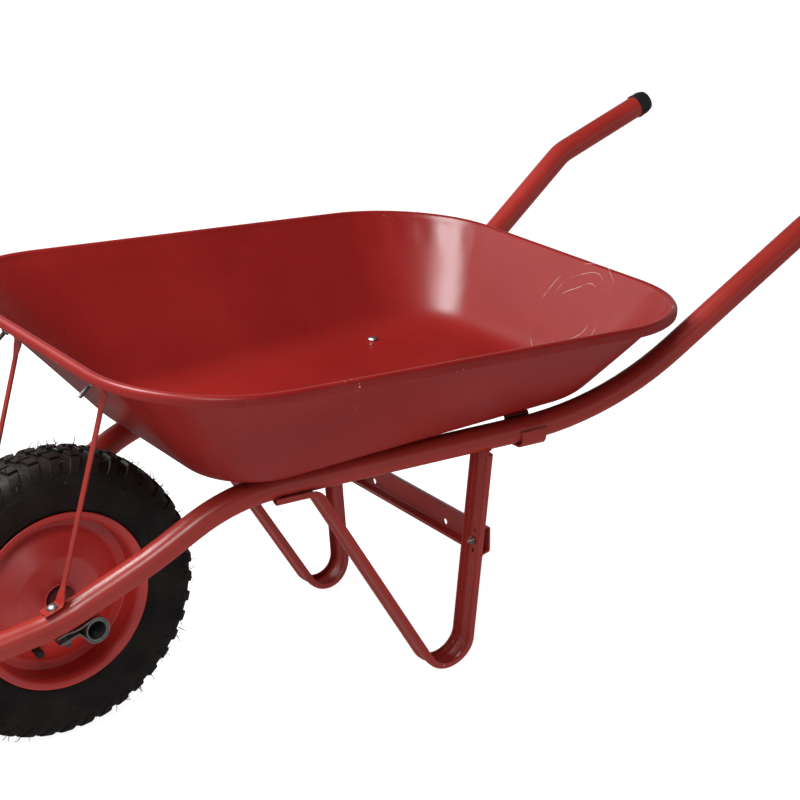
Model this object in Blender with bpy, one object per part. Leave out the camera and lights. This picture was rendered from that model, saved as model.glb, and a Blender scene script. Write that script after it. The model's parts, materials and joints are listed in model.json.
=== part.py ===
"""Wheelbarrow: a pressed steel tray on a bent tube frame, with strap legs and one pneumatic wheel.

Metres, +Z up. +X points from the wheel to the handles, +Y is the right-hand side seen from the handles.
The origin is under the middle of the barrow, on the ground. Every piece is first laid out with the
wheel's axle at X = 0, and add_piece() then moves it so that the whole barrow is centred on X.
"""

import math

import bmesh
import bpy
from mathutils import Vector

# ---------------------------------------------------------------- driving dimensions
GAP = 0.0003                      # clearance between touching pieces
ARC_TOLERANCE = 0.0003            # how far a bend's flat stretches may lie inside its true arc
SHEET = 0.0015                    # tray sheet
STRAP = 0.002                     # legs, brace, stays and axle straps

TYRE_R = 0.178                    # a 3.25-8 tyre
TYRE_HALF_W = 0.0395
AXLE_Z = TYRE_R

TUBE_R = 0.015875                 # 31.75 mm frame tube
TUBE_WALL = 0.0016
TUBE_SIDES = 12
NOSE_X = -0.214                   # middle of the tube in front of the wheel
# corners of the frame tube's centre line, from the nose to the handle: X, Y, Z, bend radius
RAIL = [
    (NOSE_X, 0.088, 0.1620, 0.062),
    (-0.0463, 0.1100, 0.1939, 0.250),
    (0.0656, 0.1215, 0.2437, 0.600),
    (0.1743, 0.1327, 0.3046, 0.240),
    (0.671, 0.2042, 0.3231, 0.420),
    (0.9665, 0.2470, 0.5251, 0.080),
    (1.126, 0.2470, 0.5831, 0.0),
]
CAP_WALL = 0.0013
CAP_LENGTH = 0.018
CAP_END = 0.004
CAP_ROUNDING = 0.003

RIM_FRONT_X = -0.0145
RIM_REAR_X = 0.7698
RIM_FRONT_Z = 0.5029
RIM_REAR_Z = 0.4655
RIM_FRONT_HALF = 0.3221
RIM_REAR_HALF = 0.3210
RIM_CORNER = 0.1624
LIP_WIDTH = 0.011                 # the rolled edge, from the wall to its outer face
LIP_DROP = 0.013
LIP_ROUNDING = 0.004
WALL_TOP_DROP = 0.004             # the wall starts this far under the rim's top
FLOOR_FRONT_X = 0.1493            # where the walls' straight lines would meet the floor
FLOOR_REAR_X = 0.6847
FLOOR_FRONT_HALF = 0.1753
FLOOR_REAR_HALF = 0.1857
FLOOR_CORNER = 0.0851
FLOOR_TANGENT = 0.0292            # how far the bottom radius reaches from that corner

LEG_WIDTH = 0.036
LEG_FLANGE = 0.0075
LEG_FOOT_X = 0.221
LEG_KNEE_X = 0.266
LEG_REAR_X = 0.5035
LEG_GROUND_Y = 0.1399
LEG_LEAN = 0.125
LEG_STRUT_RISE = 1.636            # how steeply the front strut climbs, as rise over run
LEG_LOOP_R = 0.036
LEG_KNEE_R = 0.016
LEG_BOLT_Z = 0.1725
LEG_HOLE_STEP = 0.0145
LEG_HOLE_R = 0.0032
LEG_TILT_ROOM = 1.012             # the leaning strip needs a little more room under the round tube
BRACE_BOTTOM_Z = 0.153
BRACE_TOP_Z = 0.195
BRACE_DEPTH = 0.013
BRACE_END_INSET = 0.006          # from the leg's outer edge to the brace's end
BRACE_LOW_LIP = 0.0035
BRACE_HIGH_LIP = 0.0035
BRACE_SLANT = 0.0025             # the ledges rise or fall this much on their way back to the web
BRACE_HOLE_Y = 0.081
BRACE_HOLE_Z = 0.1645
BRACE_HOLE_R = 0.004
CROSSBAR_X = 0.558
CROSSBAR_WIDTH = 0.034
CROSSBAR_SHEET = 0.003
TRAY_BOLT_X = 0.5655
TRAY_BOLT_Y = 0.156

STAY_WIDTH = 0.018
STAY_GROOVE_WIDTH = 0.008
STAY_GROOVE_DEPTH = 0.003
STAY_BOLT_DOWN = 0.036            # along the front wall, from its top
STAY_MEETS_DOWN = 0.056
STAY_END_DOWN = 0.026
STAY_WALL_GAP = 0.0010            # the wall is slightly curved behind the flat tab
STAY_LIFT = 0.0016                # the flat foot bridges the rail's bend
STAY_FOOT_FRONT = 0.013           # how far the flat foot reaches from the clamp bolt
STAY_FOOT_REAR = 0.009
STAY_FLAT_END = 0.006             # the groove fades out between these two distances from a bend
STAY_GROOVE_START = 0.022

AXLE_R = 0.01345                  # 26.9 mm pipe
AXLE_BORE_R = 0.0113
AXLE_HALF = 0.1207
AXLE_STRAP_WIDTH = 0.026
AXLE_TAIL_PITCH = 0.0055          # between the axle strap's two tails
CLAMP_X = -0.042                  # the bolt through stay, rail and axle strap
BEARING_R = 0.0163
HUB_R = 0.0188
HUB_HALF = 0.0245

WHEEL_SIDES = 36
RIM_FLANGE_R = 0.111
DISC_SHEET = 0.0016
VALVE_ANGLE = math.radians(244)
VALVE_RADIUS = 0.069
VALVE_STEM_R = 0.0034

# bolts: shank radius and shank length
LEG_BOLT = (0.0030, 0.0260)
STAY_BOLT = (0.0027, 0.026)
TRAY_BOLT = (0.0035, 0.016)
CLAMP_BOLT_R = 0.0034
CLAMP_BOLT_TAIL = 0.012           # how far it stands out under the axle strap

# ---------------------------------------------------------------- worked-out places
CAP_BORE = (TUBE_R + GAP) / math.cos(math.pi / TUBE_SIDES)
CAP_R = CAP_BORE + CAP_WALL
HANDLE_SLOPE = math.atan2(RAIL[-1][2] - RAIL[-2][2], RAIL[-1][0] - RAIL[-2][0])
CAP_RISE = (CAP_R - CAP_ROUNDING) * math.sin(HANDLE_SLOPE)
REAR_X = RAIL[-1][0] + (GAP + CAP_END) * math.cos(HANDLE_SLOPE) + CAP_RISE
FRONT_X = NOSE_X - TUBE_R
CENTRE_X = (FRONT_X + REAR_X) / 2
FLOOR_SLOPE = (RAIL[4][2] - RAIL[3][2]) / (RAIL[4][0] - RAIL[3][0])
WHEEL_CENTRE = Vector((-CENTRE_X, 0.0, AXLE_Z))
LEFT, RIGHT = -1, 1
ACROSS = Vector((0, 1, 0))
UP = Vector((0, 0, 1))


def floor_z(x):
    """Underside of the tray's floor, which lies on the rails and slopes with them."""
    return RAIL[3][2] + TUBE_R + GAP + FLOOR_SLOPE * (x - RAIL[3][0])


# ---------------------------------------------------------------- scene, materials and objects
for old in list(bpy.data.objects):
    bpy.data.objects.remove(old, do_unlink=True)

FINISHES = {
    "red_paint": ((0.33, 0.022, 0.018), 0.35, 0.0),
    "zinc": ((0.55, 0.55, 0.53), 0.35, 1.0),
    "black_rubber": ((0.016, 0.014, 0.013), 0.75, 0.0),
    "black_plastic": ((0.02, 0.02, 0.02), 0.5, 0.0),
    "steel": ((0.35, 0.34, 0.33), 0.4, 1.0),
}


def make_material(name, colour, roughness, metallic):
    material = bpy.data.materials.new(name)
    material.use_nodes = True
    shader = material.node_tree.nodes["Principled BSDF"]
    shader.inputs["Base Color"].default_value = (*colour, 1.0)
    shader.inputs["Roughness"].default_value = roughness
    shader.inputs["Metallic"].default_value = metallic
    return material


def add_piece(name, bm, finish, parent=None, smooth=True):
    """Turn a bmesh laid out around the axle into a named object, centred on X."""
    bmesh.ops.recalc_face_normals(bm, faces=bm.faces)
    shift = Vector((-CENTRE_X, 0.0, 0.0))
    if parent:
        shift -= parent.location
    bmesh.ops.translate(bm, vec=shift, verts=bm.verts)
    mesh = bpy.data.meshes.new(name)
    bm.to_mesh(mesh)
    bm.free()
    if smooth:
        mesh.shade_smooth()
        mesh.set_sharp_from_angle(angle=math.radians(35))
    colour, roughness, metallic = FINISHES[finish]
    mesh.materials.append(make_material(name + "_finish", colour, roughness, metallic))
    piece = bpy.data.objects.new(name, mesh)
    bpy.context.scene.collection.objects.link(piece)
    piece.parent = parent
    return piece


# ---------------------------------------------------------------- shape tools
def rounded_path(corners):
    """Corners as (x, y, z, radius) become points, with each corner turned into an arc."""
    points = []
    for i, corner in enumerate(corners):
        here = Vector(corner[:3])
        if corner[3] == 0.0:
            points.append(here)
            continue
        back = (Vector(corners[i - 1][:3]) - here).normalized()
        ahead = (Vector(corners[i + 1][:3]) - here).normalized()
        half = back.angle(ahead) / 2
        centre = here + (back + ahead).normalized() * corner[3] / math.sin(half)
        start = here + back * corner[3] / math.tan(half) - centre
        turn = math.pi - 2 * half
        axis = back.cross(ahead).normalized()
        side = start.cross(axis)
        count = max(2, math.ceil(turn / (2 * math.acos(1 - ARC_TOLERANCE / corner[3]))))
        for k in range(count + 1):
            angle = turn * k / count
            points.append(centre + start * math.cos(angle) + side * math.sin(angle))
    return points


def directions(points):
    """Unit tangent at each point of an open path."""
    result = []
    for i in range(len(points)):
        ahead = points[min(i + 1, len(points) - 1)] - points[i]
        behind = points[i] - points[max(i - 1, 0)]
        result.append((ahead.normalized() + behind.normalized()).normalized())
    return result


def add_ring(bm, places):
    return [bm.verts.new(place) for place in places]


def bridge(bm, first, second):
    count = len(first)
    for i in range(count):
        j = (i + 1) % count
        bm.faces.new((first[i], first[j], second[j], second[i]))


def circle(centre, across, up, radius, sides):
    step = 2 * math.pi / sides
    return [centre + radius * (across * math.cos(step * i) + up * math.sin(step * i))
            for i in range(sides)]


def tube(points, outer, inner, sides):
    """A pipe along a path that is never upright: outer and inner skins, open at both ends."""
    bm = bmesh.new()
    skins = [[], []]
    for point, tangent in zip(points, directions(points)):
        across = tangent.cross(UP).normalized()
        up = across.cross(tangent)
        for skin, radius in zip(skins, (outer, inner)):
            skin.append(add_ring(bm, circle(point, across, up, radius, sides)))
    for skin in skins:
        for a, b in zip(skin, skin[1:]):
            bridge(bm, a, b)
    bridge(bm, skins[0][0], skins[1][0])
    bridge(bm, skins[0][-1], skins[1][-1])
    return bm


def strip(points, sides, sections):
    """A bent strip. Each section is (along side, along the path's normal) in order round its edge."""
    bm = bmesh.new()
    rings = []
    for point, tangent, side, section in zip(points, directions(points), sides, sections):
        normal = side.cross(tangent).normalized()
        rings.append(add_ring(bm, [point + side * u + normal * v for u, v in section]))
    for a, b in zip(rings, rings[1:]):
        bridge(bm, a, b)
    bm.faces.new(rings[0])
    bm.faces.new(reversed(rings[-1]))
    return bm


def flat_bar(width, thickness):
    return [(-width / 2, -thickness / 2), (width / 2, -thickness / 2),
            (width / 2, thickness / 2), (-width / 2, thickness / 2)]


def channel(width, flange, thickness):
    """A U section: web centred on the path, flanges towards plus normal."""
    half = width / 2
    web = thickness / 2
    return [(-half, -web), (half, -web), (half, flange), (half - thickness, flange),
            (half - thickness, web), (thickness - half, web), (thickness - half, flange),
            (-half, flange)]


def turned(profile, sides, centre, axis=ACROSS):
    """Spin a closed profile of (radius, along axis) round an axis; radius 0 makes a pole."""
    bm = bmesh.new()
    axis = axis.normalized()
    start = Vector((1, 0, 0)) if abs(axis.y) > 0.9 else ACROSS
    across = (start - axis * start.dot(axis)).normalized()
    up = axis.cross(across)
    rings = []
    for radius, along in profile:
        middle = centre + axis * along
        if radius == 0.0:
            rings.append([bm.verts.new(middle)])
        else:
            rings.append(add_ring(bm, circle(middle, across, up, radius, sides)))
    for a, b in zip(rings, rings[1:] + rings[:1]):
        if len(a) == 1 and len(b) == 1:
            continue
        if len(a) == 1 or len(b) == 1:
            pole, ring = (a[0], b) if len(a) == 1 else (b[0], a)
            for i in range(sides):
                bm.faces.new((pole, ring[i], ring[(i + 1) % sides]))
        else:
            bridge(bm, a, b)
    return bm


# ---------------------------------------------------------------- places on the rail
def frame_path():
    """The whole centre line of the frame tube, from the left handle round the nose to the right."""
    left = [(x, -y, z, r) for x, y, z, r in reversed(RAIL)]
    return rounded_path(left + RAIL)


RAIL_POINTS = [point for point in frame_path() if point.y > 0.08]


def rail_at(x):
    """Middle of the right-hand rail at x, and the unit direction in which it runs there."""
    for a, b in zip(RAIL_POINTS, RAIL_POINTS[1:]):
        if a.x <= x <= b.x:
            return a.lerp(b, (x - a.x) / (b.x - a.x)), (b - a).normalized()
    raise ValueError(x)


def mirrored(vector, side):
    """A place on the right-hand side, moved to the side asked for."""
    return Vector((vector.x, vector.y * side, vector.z))


# ---------------------------------------------------------------- bolts and their holes
def drill(pieces, name, holes):
    """Take round holes (start, end, radius) out of every piece, with one hidden cutter."""
    bm = bmesh.new()
    for start, end, radius in holes:
        depth = (end - start).length
        profile = [(0, 0), (radius, 0), (radius, depth), (0, depth)]
        drill_bm = turned(profile, 12, start, end - start)
        bmesh.ops.recalc_face_normals(drill_bm, faces=drill_bm.faces)
        part = bpy.data.meshes.new("drill")
        drill_bm.to_mesh(part)
        drill_bm.free()
        bm.from_mesh(part)
        bpy.data.meshes.remove(part)
    bmesh.ops.translate(bm, vec=Vector((-CENTRE_X, 0, 0)), verts=bm.verts)
    mesh = bpy.data.meshes.new(name)
    bm.to_mesh(mesh)
    bm.free()
    cutter = bpy.data.objects.new(name, mesh)
    cutter.hide_render = True
    cutter.display_type = 'WIRE'
    bpy.context.scene.collection.objects.link(cutter)
    for piece in pieces:
        cutter.parent = piece.parent
        if piece.parent:
            cutter.location = -piece.parent.location
        hole = piece.modifiers.new(name, 'BOOLEAN')
        hole.operation = 'DIFFERENCE'
        hole.solver = 'EXACT'
        hole.object = cutter


def bolt_and_nut(name, head, axis, bolt, nut_at, pieces):
    """A round-headed bolt whose head rests at head, its hole through the pieces, and its nut."""
    axis = axis.normalized()
    radius, length = bolt
    head_r = radius * 2
    head_h = radius * 1.1
    dome = [(0, -head_h), (head_r * 0.62, -head_h * 0.8), (head_r, -head_h * 0.25),
            (head_r, 0), (radius, 0), (radius, length), (0, length)]
    add_piece(name + "_bolt", turned(dome, 10, head, axis), "zinc")
    bore = (radius + GAP) / math.cos(math.pi / 6)
    nut_r = radius * 1.9
    nut_h = radius * 1.6
    nut = [(bore, nut_at), (nut_r, nut_at), (nut_r, nut_at + nut_h), (bore, nut_at + nut_h)]
    add_piece(name + "_nut", turned(nut, 6, head, axis), "zinc", smooth=False)
    hole_r = (radius + GAP) / math.cos(math.pi / 12)
    start = head - axis * (head_h + 0.001)
    drill(pieces, name + "_drill", [(start, head + axis * (nut_at + nut_h), hole_r)])


# ---------------------------------------------------------------- frame
def build_frame_tube():
    skin = tube(frame_path(), TUBE_R, TUBE_R - TUBE_WALL, TUBE_SIDES)
    return add_piece("frame_tube", skin, "red_paint")


def build_end_cap(name, side):
    """A cup pushed over the end of the tube."""
    end = mirrored(Vector(RAIL[-1][:3]), side)
    before = mirrored(Vector(RAIL[-2][:3]), side)
    back = CAP_END + GAP
    profile = [(0, GAP), (CAP_BORE, GAP), (CAP_BORE, GAP - CAP_LENGTH), (CAP_R, GAP - CAP_LENGTH),
               (CAP_R, back - CAP_ROUNDING), (CAP_R - CAP_ROUNDING, back), (0, back)]
    add_piece(name, turned(profile, TUBE_SIDES, end, end - before), "black_plastic")


# ---------------------------------------------------------------- tray
def rounded_outline(front, rear, front_half, rear_half, corner):
    """Plan outline with four round corners, always with the same number of points."""
    arc_steps = 6
    side_steps = 3
    corners = [(rear, -rear_half, -90), (rear, rear_half, 0), (front, front_half, 90),
               (front, -front_half, 180)]
    arcs = []
    for x, y, start in corners:
        middle_x = x - math.copysign(corner, x - (front + rear) / 2)
        middle_y = y - math.copysign(corner, y)
        turns = [math.radians(start + 90 * k / arc_steps) for k in range(arc_steps + 1)]
        arcs.append([(middle_x + corner * math.cos(a), middle_y + corner * math.sin(a)) for a in turns])
    outline = []
    for arc, following in zip(arcs, arcs[1:] + arcs[:1]):
        outline += arc
        (ax, ay), (bx, by) = arc[-1], following[0]
        outline += [(ax + (bx - ax) * k / side_steps, ay + (by - ay) * k / side_steps)
                    for k in range(1, side_steps)]
    return outline


def rim_z(x):
    t = (x - RIM_FRONT_X) / (RIM_REAR_X - RIM_FRONT_X)
    return RIM_FRONT_Z + t * (RIM_REAR_Z - RIM_FRONT_Z)


def rim_ring(inset, drop):
    outline = rounded_outline(RIM_FRONT_X + inset, RIM_REAR_X - inset, RIM_FRONT_HALF - inset,
                              RIM_REAR_HALF - inset, RIM_CORNER - inset)
    return [Vector((x, y, rim_z(x) - drop)) for x, y in outline]


def floor_ring(inset):
    outline = rounded_outline(FLOOR_FRONT_X + inset, FLOOR_REAR_X - inset, FLOOR_FRONT_HALF - inset,
                              FLOOR_REAR_HALF - inset, FLOOR_CORNER - inset)
    return [Vector((x, y, floor_z(x) + SHEET)) for x, y in outline]


def build_tray():
    """The inner skin from the lip's lower edge, over the rim and down to the floor, then its sheet."""
    rings = [rim_ring(0, LIP_DROP), rim_ring(0, LIP_ROUNDING), rim_ring(LIP_ROUNDING, 0),
             rim_ring(LIP_WIDTH - LIP_ROUNDING / 2, 0)]
    wall_top = rim_ring(LIP_WIDTH, WALL_TOP_DROP)
    foot = floor_ring(0.0)
    flat = floor_ring(FLOOR_TANGENT)
    bend_top = [low + (high - low).normalized() * FLOOR_TANGENT for low, high in zip(foot, wall_top)]
    rings.append(wall_top)
    rings.append([high.lerp(low, 0.5) for high, low in zip(wall_top, bend_top)])
    bend_steps = 4
    for k in range(bend_steps + 1):
        t = k / bend_steps
        rings.append([a * (1 - t) ** 2 + b * 2 * t * (1 - t) + c * t ** 2
                      for a, b, c in zip(bend_top, foot, flat)])
    bm = bmesh.new()
    rows = [add_ring(bm, ring) for ring in rings]
    for a, b in zip(rows, rows[1:]):
        bridge(bm, a, b)
    bm.faces.new(rows[-1])
    tray = add_piece("tray", bm, "red_paint")
    wall = tray.modifiers.new("sheet", 'SOLIDIFY')
    wall.thickness = SHEET
    wall.offset = -1.0
    wall.use_even_offset = True
    return tray


# ---------------------------------------------------------------- legs, brace and crossbar
def post_y(z):
    """The right leg's rear post leans in towards the ground; this is its middle at height z."""
    return LEG_GROUND_Y + LEG_LEAN * z


def build_leg(name, side):
    """One channel strip: a foot under the rail, a strut, a round foot loop and a rear post."""
    under_rail = TUBE_R * LEG_TILT_ROOM + GAP + STRAP / 2
    foot_z = rail_at(LEG_FOOT_X)[0].z - under_rail
    knee = rail_at(LEG_KNEE_X)[0] - Vector((0, 0, under_rail))
    top_z = rail_at(LEG_REAR_X - LEG_FLANGE)[0].z - TUBE_R * LEG_TILT_ROOM - GAP
    loop_z = STRAP / 2 + LEG_LOOP_R
    turn = math.pi / 2 + math.atan(LEG_STRUT_RISE)
    corner_z = loop_z - LEG_LOOP_R * math.tan(turn / 2)
    knee_x = LEG_REAR_X - (knee.z - corner_z) / LEG_STRUT_RISE
    flat_path = rounded_path([(LEG_FOOT_X, 0, foot_z, 0.0), (knee_x, 0, knee.z, LEG_KNEE_R),
                              (LEG_REAR_X, 0, corner_z, LEG_LOOP_R), (LEG_REAR_X, 0, top_z, 0.0)])
    points = []
    sides = []
    for x, _, z in flat_path:
        if x < LEG_KNEE_X:
            rail, along = rail_at(x)
            y = rail.y
            across = Vector((-along.y, along.x, 0))
        elif x < LEG_REAR_X - LEG_LOOP_R:
            y = LEG_GROUND_Y + (knee.y - LEG_GROUND_Y) * z / knee.z
            across = ACROSS
        else:
            y = post_y(z)
            across = Vector((0, 1, -LEG_LEAN * min(1.0, z / loop_z)))
        points.append(mirrored(Vector((x, y, z)), side))
        sides.append(mirrored(across, side).normalized() * -side)
    sections = [channel(LEG_WIDTH, LEG_FLANGE, STRAP)] * len(points)
    return add_piece(name, strip(points, sides, sections), "red_paint")


def build_brace():
    """A hat section across the back of both legs: lips on the legs, web set back from them."""
    front = LEG_REAR_X + STRAP / 2 + GAP
    low_lip = BRACE_BOTTOM_Z + BRACE_LOW_LIP
    web_low = low_lip + BRACE_SLANT
    high_lip = BRACE_TOP_Z - BRACE_HIGH_LIP
    web_high = high_lip - BRACE_SLANT
    web = BRACE_DEPTH - STRAP
    outline = [(0, BRACE_BOTTOM_Z), (0, low_lip), (web, web_low), (web, web_high), (0, high_lip),
               (0, BRACE_TOP_Z), (STRAP, BRACE_TOP_Z), (STRAP, high_lip + STRAP),
               (BRACE_DEPTH, web_high + STRAP), (BRACE_DEPTH, web_low - STRAP),
               (STRAP, low_lip - STRAP), (STRAP, BRACE_BOTTOM_Z)]
    reach = post_y(LEG_BOLT_Z) + LEG_WIDTH / 2 - BRACE_END_INSET
    bm = bmesh.new()
    ends = [add_ring(bm, [Vector((front + x, y, z)) for x, z in outline]) for y in (-reach, reach)]
    bridge(bm, *ends)
    bm.faces.new(ends[0])
    bm.faces.new(reversed(ends[1]))
    brace = add_piece("leg_cross_brace", bm, "red_paint", smooth=False)
    spare = []
    for y in (-BRACE_HOLE_Y, BRACE_HOLE_Y):
        start = Vector((front - STRAP, y, BRACE_HOLE_Z))
        spare.append((start, start + Vector((BRACE_DEPTH + 2 * STRAP, 0, 0)), BRACE_HOLE_R))
    drill([brace], "brace_drill", spare)
    return brace


def bolt_leg(name, side, leg, brace):
    """The bolt that joins a leg to the brace, and the spare holes above and below it."""
    rear = LEG_REAR_X + STRAP / 2 + GAP + BRACE_DEPTH
    head = Vector((rear + GAP, side * post_y(LEG_BOLT_Z), LEG_BOLT_Z))
    front = rear - LEG_REAR_X + STRAP / 2 + 3 * GAP
    bolt_and_nut(name, head, Vector((-1, 0, 0)), LEG_BOLT, front, [leg, brace])
    spare = []
    for step in (-LEG_HOLE_STEP, LEG_HOLE_STEP):
        z = LEG_BOLT_Z + step
        at = Vector((LEG_REAR_X, side * post_y(z), z))
        spare.append((at - Vector((STRAP, 0, 0)), at + Vector((STRAP, 0, 0)), LEG_HOLE_R))
    drill([leg], name + "_spare_drill", spare)


def build_crossbar():
    """A strap that cups both rails from below, with its tab ends up their outer sides."""
    rail, along = rail_at(CROSSBAR_X)
    along = Vector((along.x, along.y, FLOOR_SLOPE * along.x)).normalized()
    off = (TUBE_R + GAP) / along.x + CROSSBAR_SHEET / 2
    top = floor_z(CROSSBAR_X) - GAP - CROSSBAR_SHEET / 2
    under = rail.z - off
    half = [(rail.y + off, rail.z + 0.002, 0.0), (rail.y + off, under, 0.010),
            (rail.y - off, under, 0.010), (rail.y - off, top, 0.004)]
    corners = [(CROSSBAR_X, -y, z, r) for y, z, r in half]
    corners += [(CROSSBAR_X, y, z, r) for y, z, r in reversed(half)]
    points = rounded_path(corners)
    sides = [mirrored(along, math.copysign(1, point.y)) for point in points]
    sections = [flat_bar(CROSSBAR_WIDTH, CROSSBAR_SHEET)] * len(points)
    return add_piece("rear_crossbar", strip(points, sides, sections), "red_paint")


# ---------------------------------------------------------------- front stays
def front_wall(down, out):
    """A place on the middle of the tray's front wall: down from its top, and out from its inner skin."""
    high = Vector((RIM_FRONT_X + LIP_WIDTH, 0, RIM_FRONT_Z - WALL_TOP_DROP))
    low = Vector((FLOOR_FRONT_X, 0, floor_z(FLOOR_FRONT_X) + SHEET))
    line = (low - high).normalized()
    normal = Vector((line.z, 0, -line.x))
    return high + line * down + normal * out, normal


def angle_section(width, depth, thickness):
    """A shallow V strip, open to the front."""
    half = width / 2
    web = thickness / 2
    return [(-half, -web), (0, depth - web), (half, -web), (half, web), (0, depth + web), (-half, web)]


def build_front_stay(name, side):
    """A V strip with flat ends, from the top of the rail up to the tray's front wall."""
    rail, along = rail_at(CLAMP_X)
    flat_along = Vector((along.x, 0, along.z)).normalized()
    up = Vector((-flat_along.z, 0, flat_along.x))
    foot = Vector((rail.x, rail.y, rail.z)) + up * (TUBE_R + GAP + STRAP / 2 + STAY_LIFT)
    out = SHEET + STAY_WALL_GAP + STRAP / 2
    meet = front_wall(STAY_MEETS_DOWN, out)[0]
    end = front_wall(STAY_END_DOWN, out)[0]
    meet.y = end.y = rail.y
    knee = foot + flat_along * STAY_FOOT_REAR
    rise = (meet - knee).normalized()
    points = [foot - flat_along * STAY_FOOT_FRONT, foot, knee, knee + rise * STAY_FLAT_END,
              knee + rise * STAY_GROOVE_START, meet - rise * STAY_GROOVE_START,
              meet - rise * STAY_FLAT_END, meet, end]
    flat = angle_section(STAY_WIDTH, 0.0, STRAP)
    narrow = angle_section(STAY_GROOVE_WIDTH, STAY_GROOVE_DEPTH, STRAP)
    sections = [flat, flat, flat, flat, narrow, narrow, flat, flat, flat]
    points = [mirrored(point, side) for point in points]
    return add_piece(name, strip(points, [ACROSS] * len(points), sections), "red_paint")


def bolt_stay(name, side, tray, stay):
    inside, normal = front_wall(STAY_BOLT_DOWN, -GAP)
    inside.y = rail_at(CLAMP_X)[0].y
    through = STAY_WALL_GAP + GAP * 2 + SHEET + STRAP
    bolt_and_nut(name, mirrored(inside, side), normal, STAY_BOLT, through, [tray, stay])


def bolt_tray_floor(name, side, tray, crossbar):
    head = Vector((TRAY_BOLT_X, side * TRAY_BOLT_Y, floor_z(TRAY_BOLT_X) + SHEET + 3 * GAP))
    through = 5 * GAP + SHEET + CROSSBAR_SHEET
    bolt_and_nut(name, head, Vector((FLOOR_SLOPE, 0, -1)), TRAY_BOLT, through, [tray, crossbar])


def clamp_stack(side):
    """Where the axle clamp bolt starts, on top of the stay's foot, and its direction down."""
    rail, along = rail_at(CLAMP_X)
    up = Vector((-along.z, 0, along.x)).normalized()
    head = rail + up * (TUBE_R + 2 * GAP + STRAP + STAY_LIFT)
    return mirrored(head, side), -up


def bolt_axle_clamp(name, side, pieces):
    head, down = clamp_stack(side)
    through = 2 * TUBE_R + 4 * GAP + STRAP + STAY_LIFT + AXLE_TAIL_PITCH + STRAP
    bolt = (CLAMP_BOLT_R, through + CLAMP_BOLT_TAIL)
    bolt_and_nut(name, head, down, bolt, through + GAP, pieces)


# ---------------------------------------------------------------- axle, straps and wheel
def build_axle():
    pipe = [(AXLE_R, -AXLE_HALF), (AXLE_R, AXLE_HALF), (AXLE_BORE_R, AXLE_HALF), (AXLE_BORE_R, -AXLE_HALF)]
    add_piece("axle", turned(pipe, 16, Vector((0, 0, AXLE_Z))), "zinc")


def build_axle_strap(name, side):
    """A band wrapped round the axle, with both its tails together under the rail."""
    ring_r = (AXLE_R + GAP) / math.cos(math.pi / 16) + STRAP / 2
    y = AXLE_HALF - AXLE_STRAP_WIDTH / 2
    rail, along = rail_at(CLAMP_X)
    along = Vector((along.x, 0, along.z)).normalized()
    up = Vector((-along.z, 0, along.x))
    upper = Vector((rail.x, y, rail.z)) - up * (TUBE_R + GAP + STRAP / 2)
    lower = upper - up * AXLE_TAIL_PITCH
    start = math.radians(116)
    stop = math.radians(-148)
    steps = 13
    ring = [start + (stop - start) * k / steps for k in range(steps + 1)]
    points = [upper - along * 0.011, upper + along * 0.016]
    points += [Vector((ring_r * math.cos(a), y, AXLE_Z + ring_r * math.sin(a))) for a in ring]
    points += [lower + along * 0.014, lower - along * 0.011]
    points = [mirrored(point, side) for point in points]
    sections = [flat_bar(AXLE_STRAP_WIDTH, STRAP)] * len(points)
    return add_piece(name, strip(points, [ACROSS] * len(points), sections), "zinc")


def sleeve(name, inner, outer, start, end, side, finish, parent=None):
    """A ring on the axle's line between two distances from the centre plane."""
    bore = inner / math.cos(math.pi / 16)
    ring = [(bore, start), (outer, start), (outer, end), (bore, end)]
    add_piece(name, turned([(r, along * side) for r, along in ring], 16, Vector((0, 0, AXLE_Z))),
              finish, parent)


def build_tyre(centre, axis):
    """A casing of one closed skin, open towards the rim as a real tyre is."""
    half = TYRE_HALF_W
    outside = [(0.1050, 0.0275), (0.1114, 0.0312), (0.1165, 0.0345), (0.1300, 0.0385), (0.1500, half),
               (0.1650, 0.0350), (0.1735, 0.0240), (TYRE_R, 0.0090)]
    inside = [(0.1050, 0.0180), (0.1150, 0.0290), (0.1300, 0.0335), (0.1500, 0.0335), (0.1630, 0.0230),
              (0.1690, 0.0080)]
    profile = outside + [(r, -y) for r, y in reversed(outside)]
    profile += [(r, -y) for r, y in inside] + [(r, y) for r, y in reversed(inside)]
    add_piece("tyre", turned(profile, WHEEL_SIDES, centre), "black_rubber", axis)


def build_inner_tube(centre, axis):
    ring = [(0.1370 + 0.0255 * math.cos(a), 0.0275 * math.sin(a))
            for a in [2 * math.pi * k / 10 for k in range(10)]]
    add_piece("inner_tube", turned(ring, 24, centre), "black_rubber", axis)


def build_disc(name, side, centre, axis):
    """Half of the wheel: rim flange, bead seat, the joint near the middle, a cone and a flat centre."""
    t = DISC_SHEET
    bore = (HUB_R + GAP) / math.cos(math.pi / 16)
    face = [(RIM_FLANGE_R, 0.0338), (0.1030, 0.0318), (0.0990, 0.0270), (0.0982, 0.0035), (0.0850, 0.0035),
            (0.0520, 0.0262), (bore, 0.0262)]
    back = [(bore, 0.0262 - t), (0.0515, 0.0262 - t), (0.0845, GAP), (0.0995, GAP), (0.1006, 0.0200),
            (0.1012, 0.0272), (0.1042, 0.0292), (RIM_FLANGE_R, 0.0338 - t)]
    profile = [(r, y * side) for r, y in face + back]
    return add_piece(name, turned(profile, WHEEL_SIDES, centre), "red_paint", axis)


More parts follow.
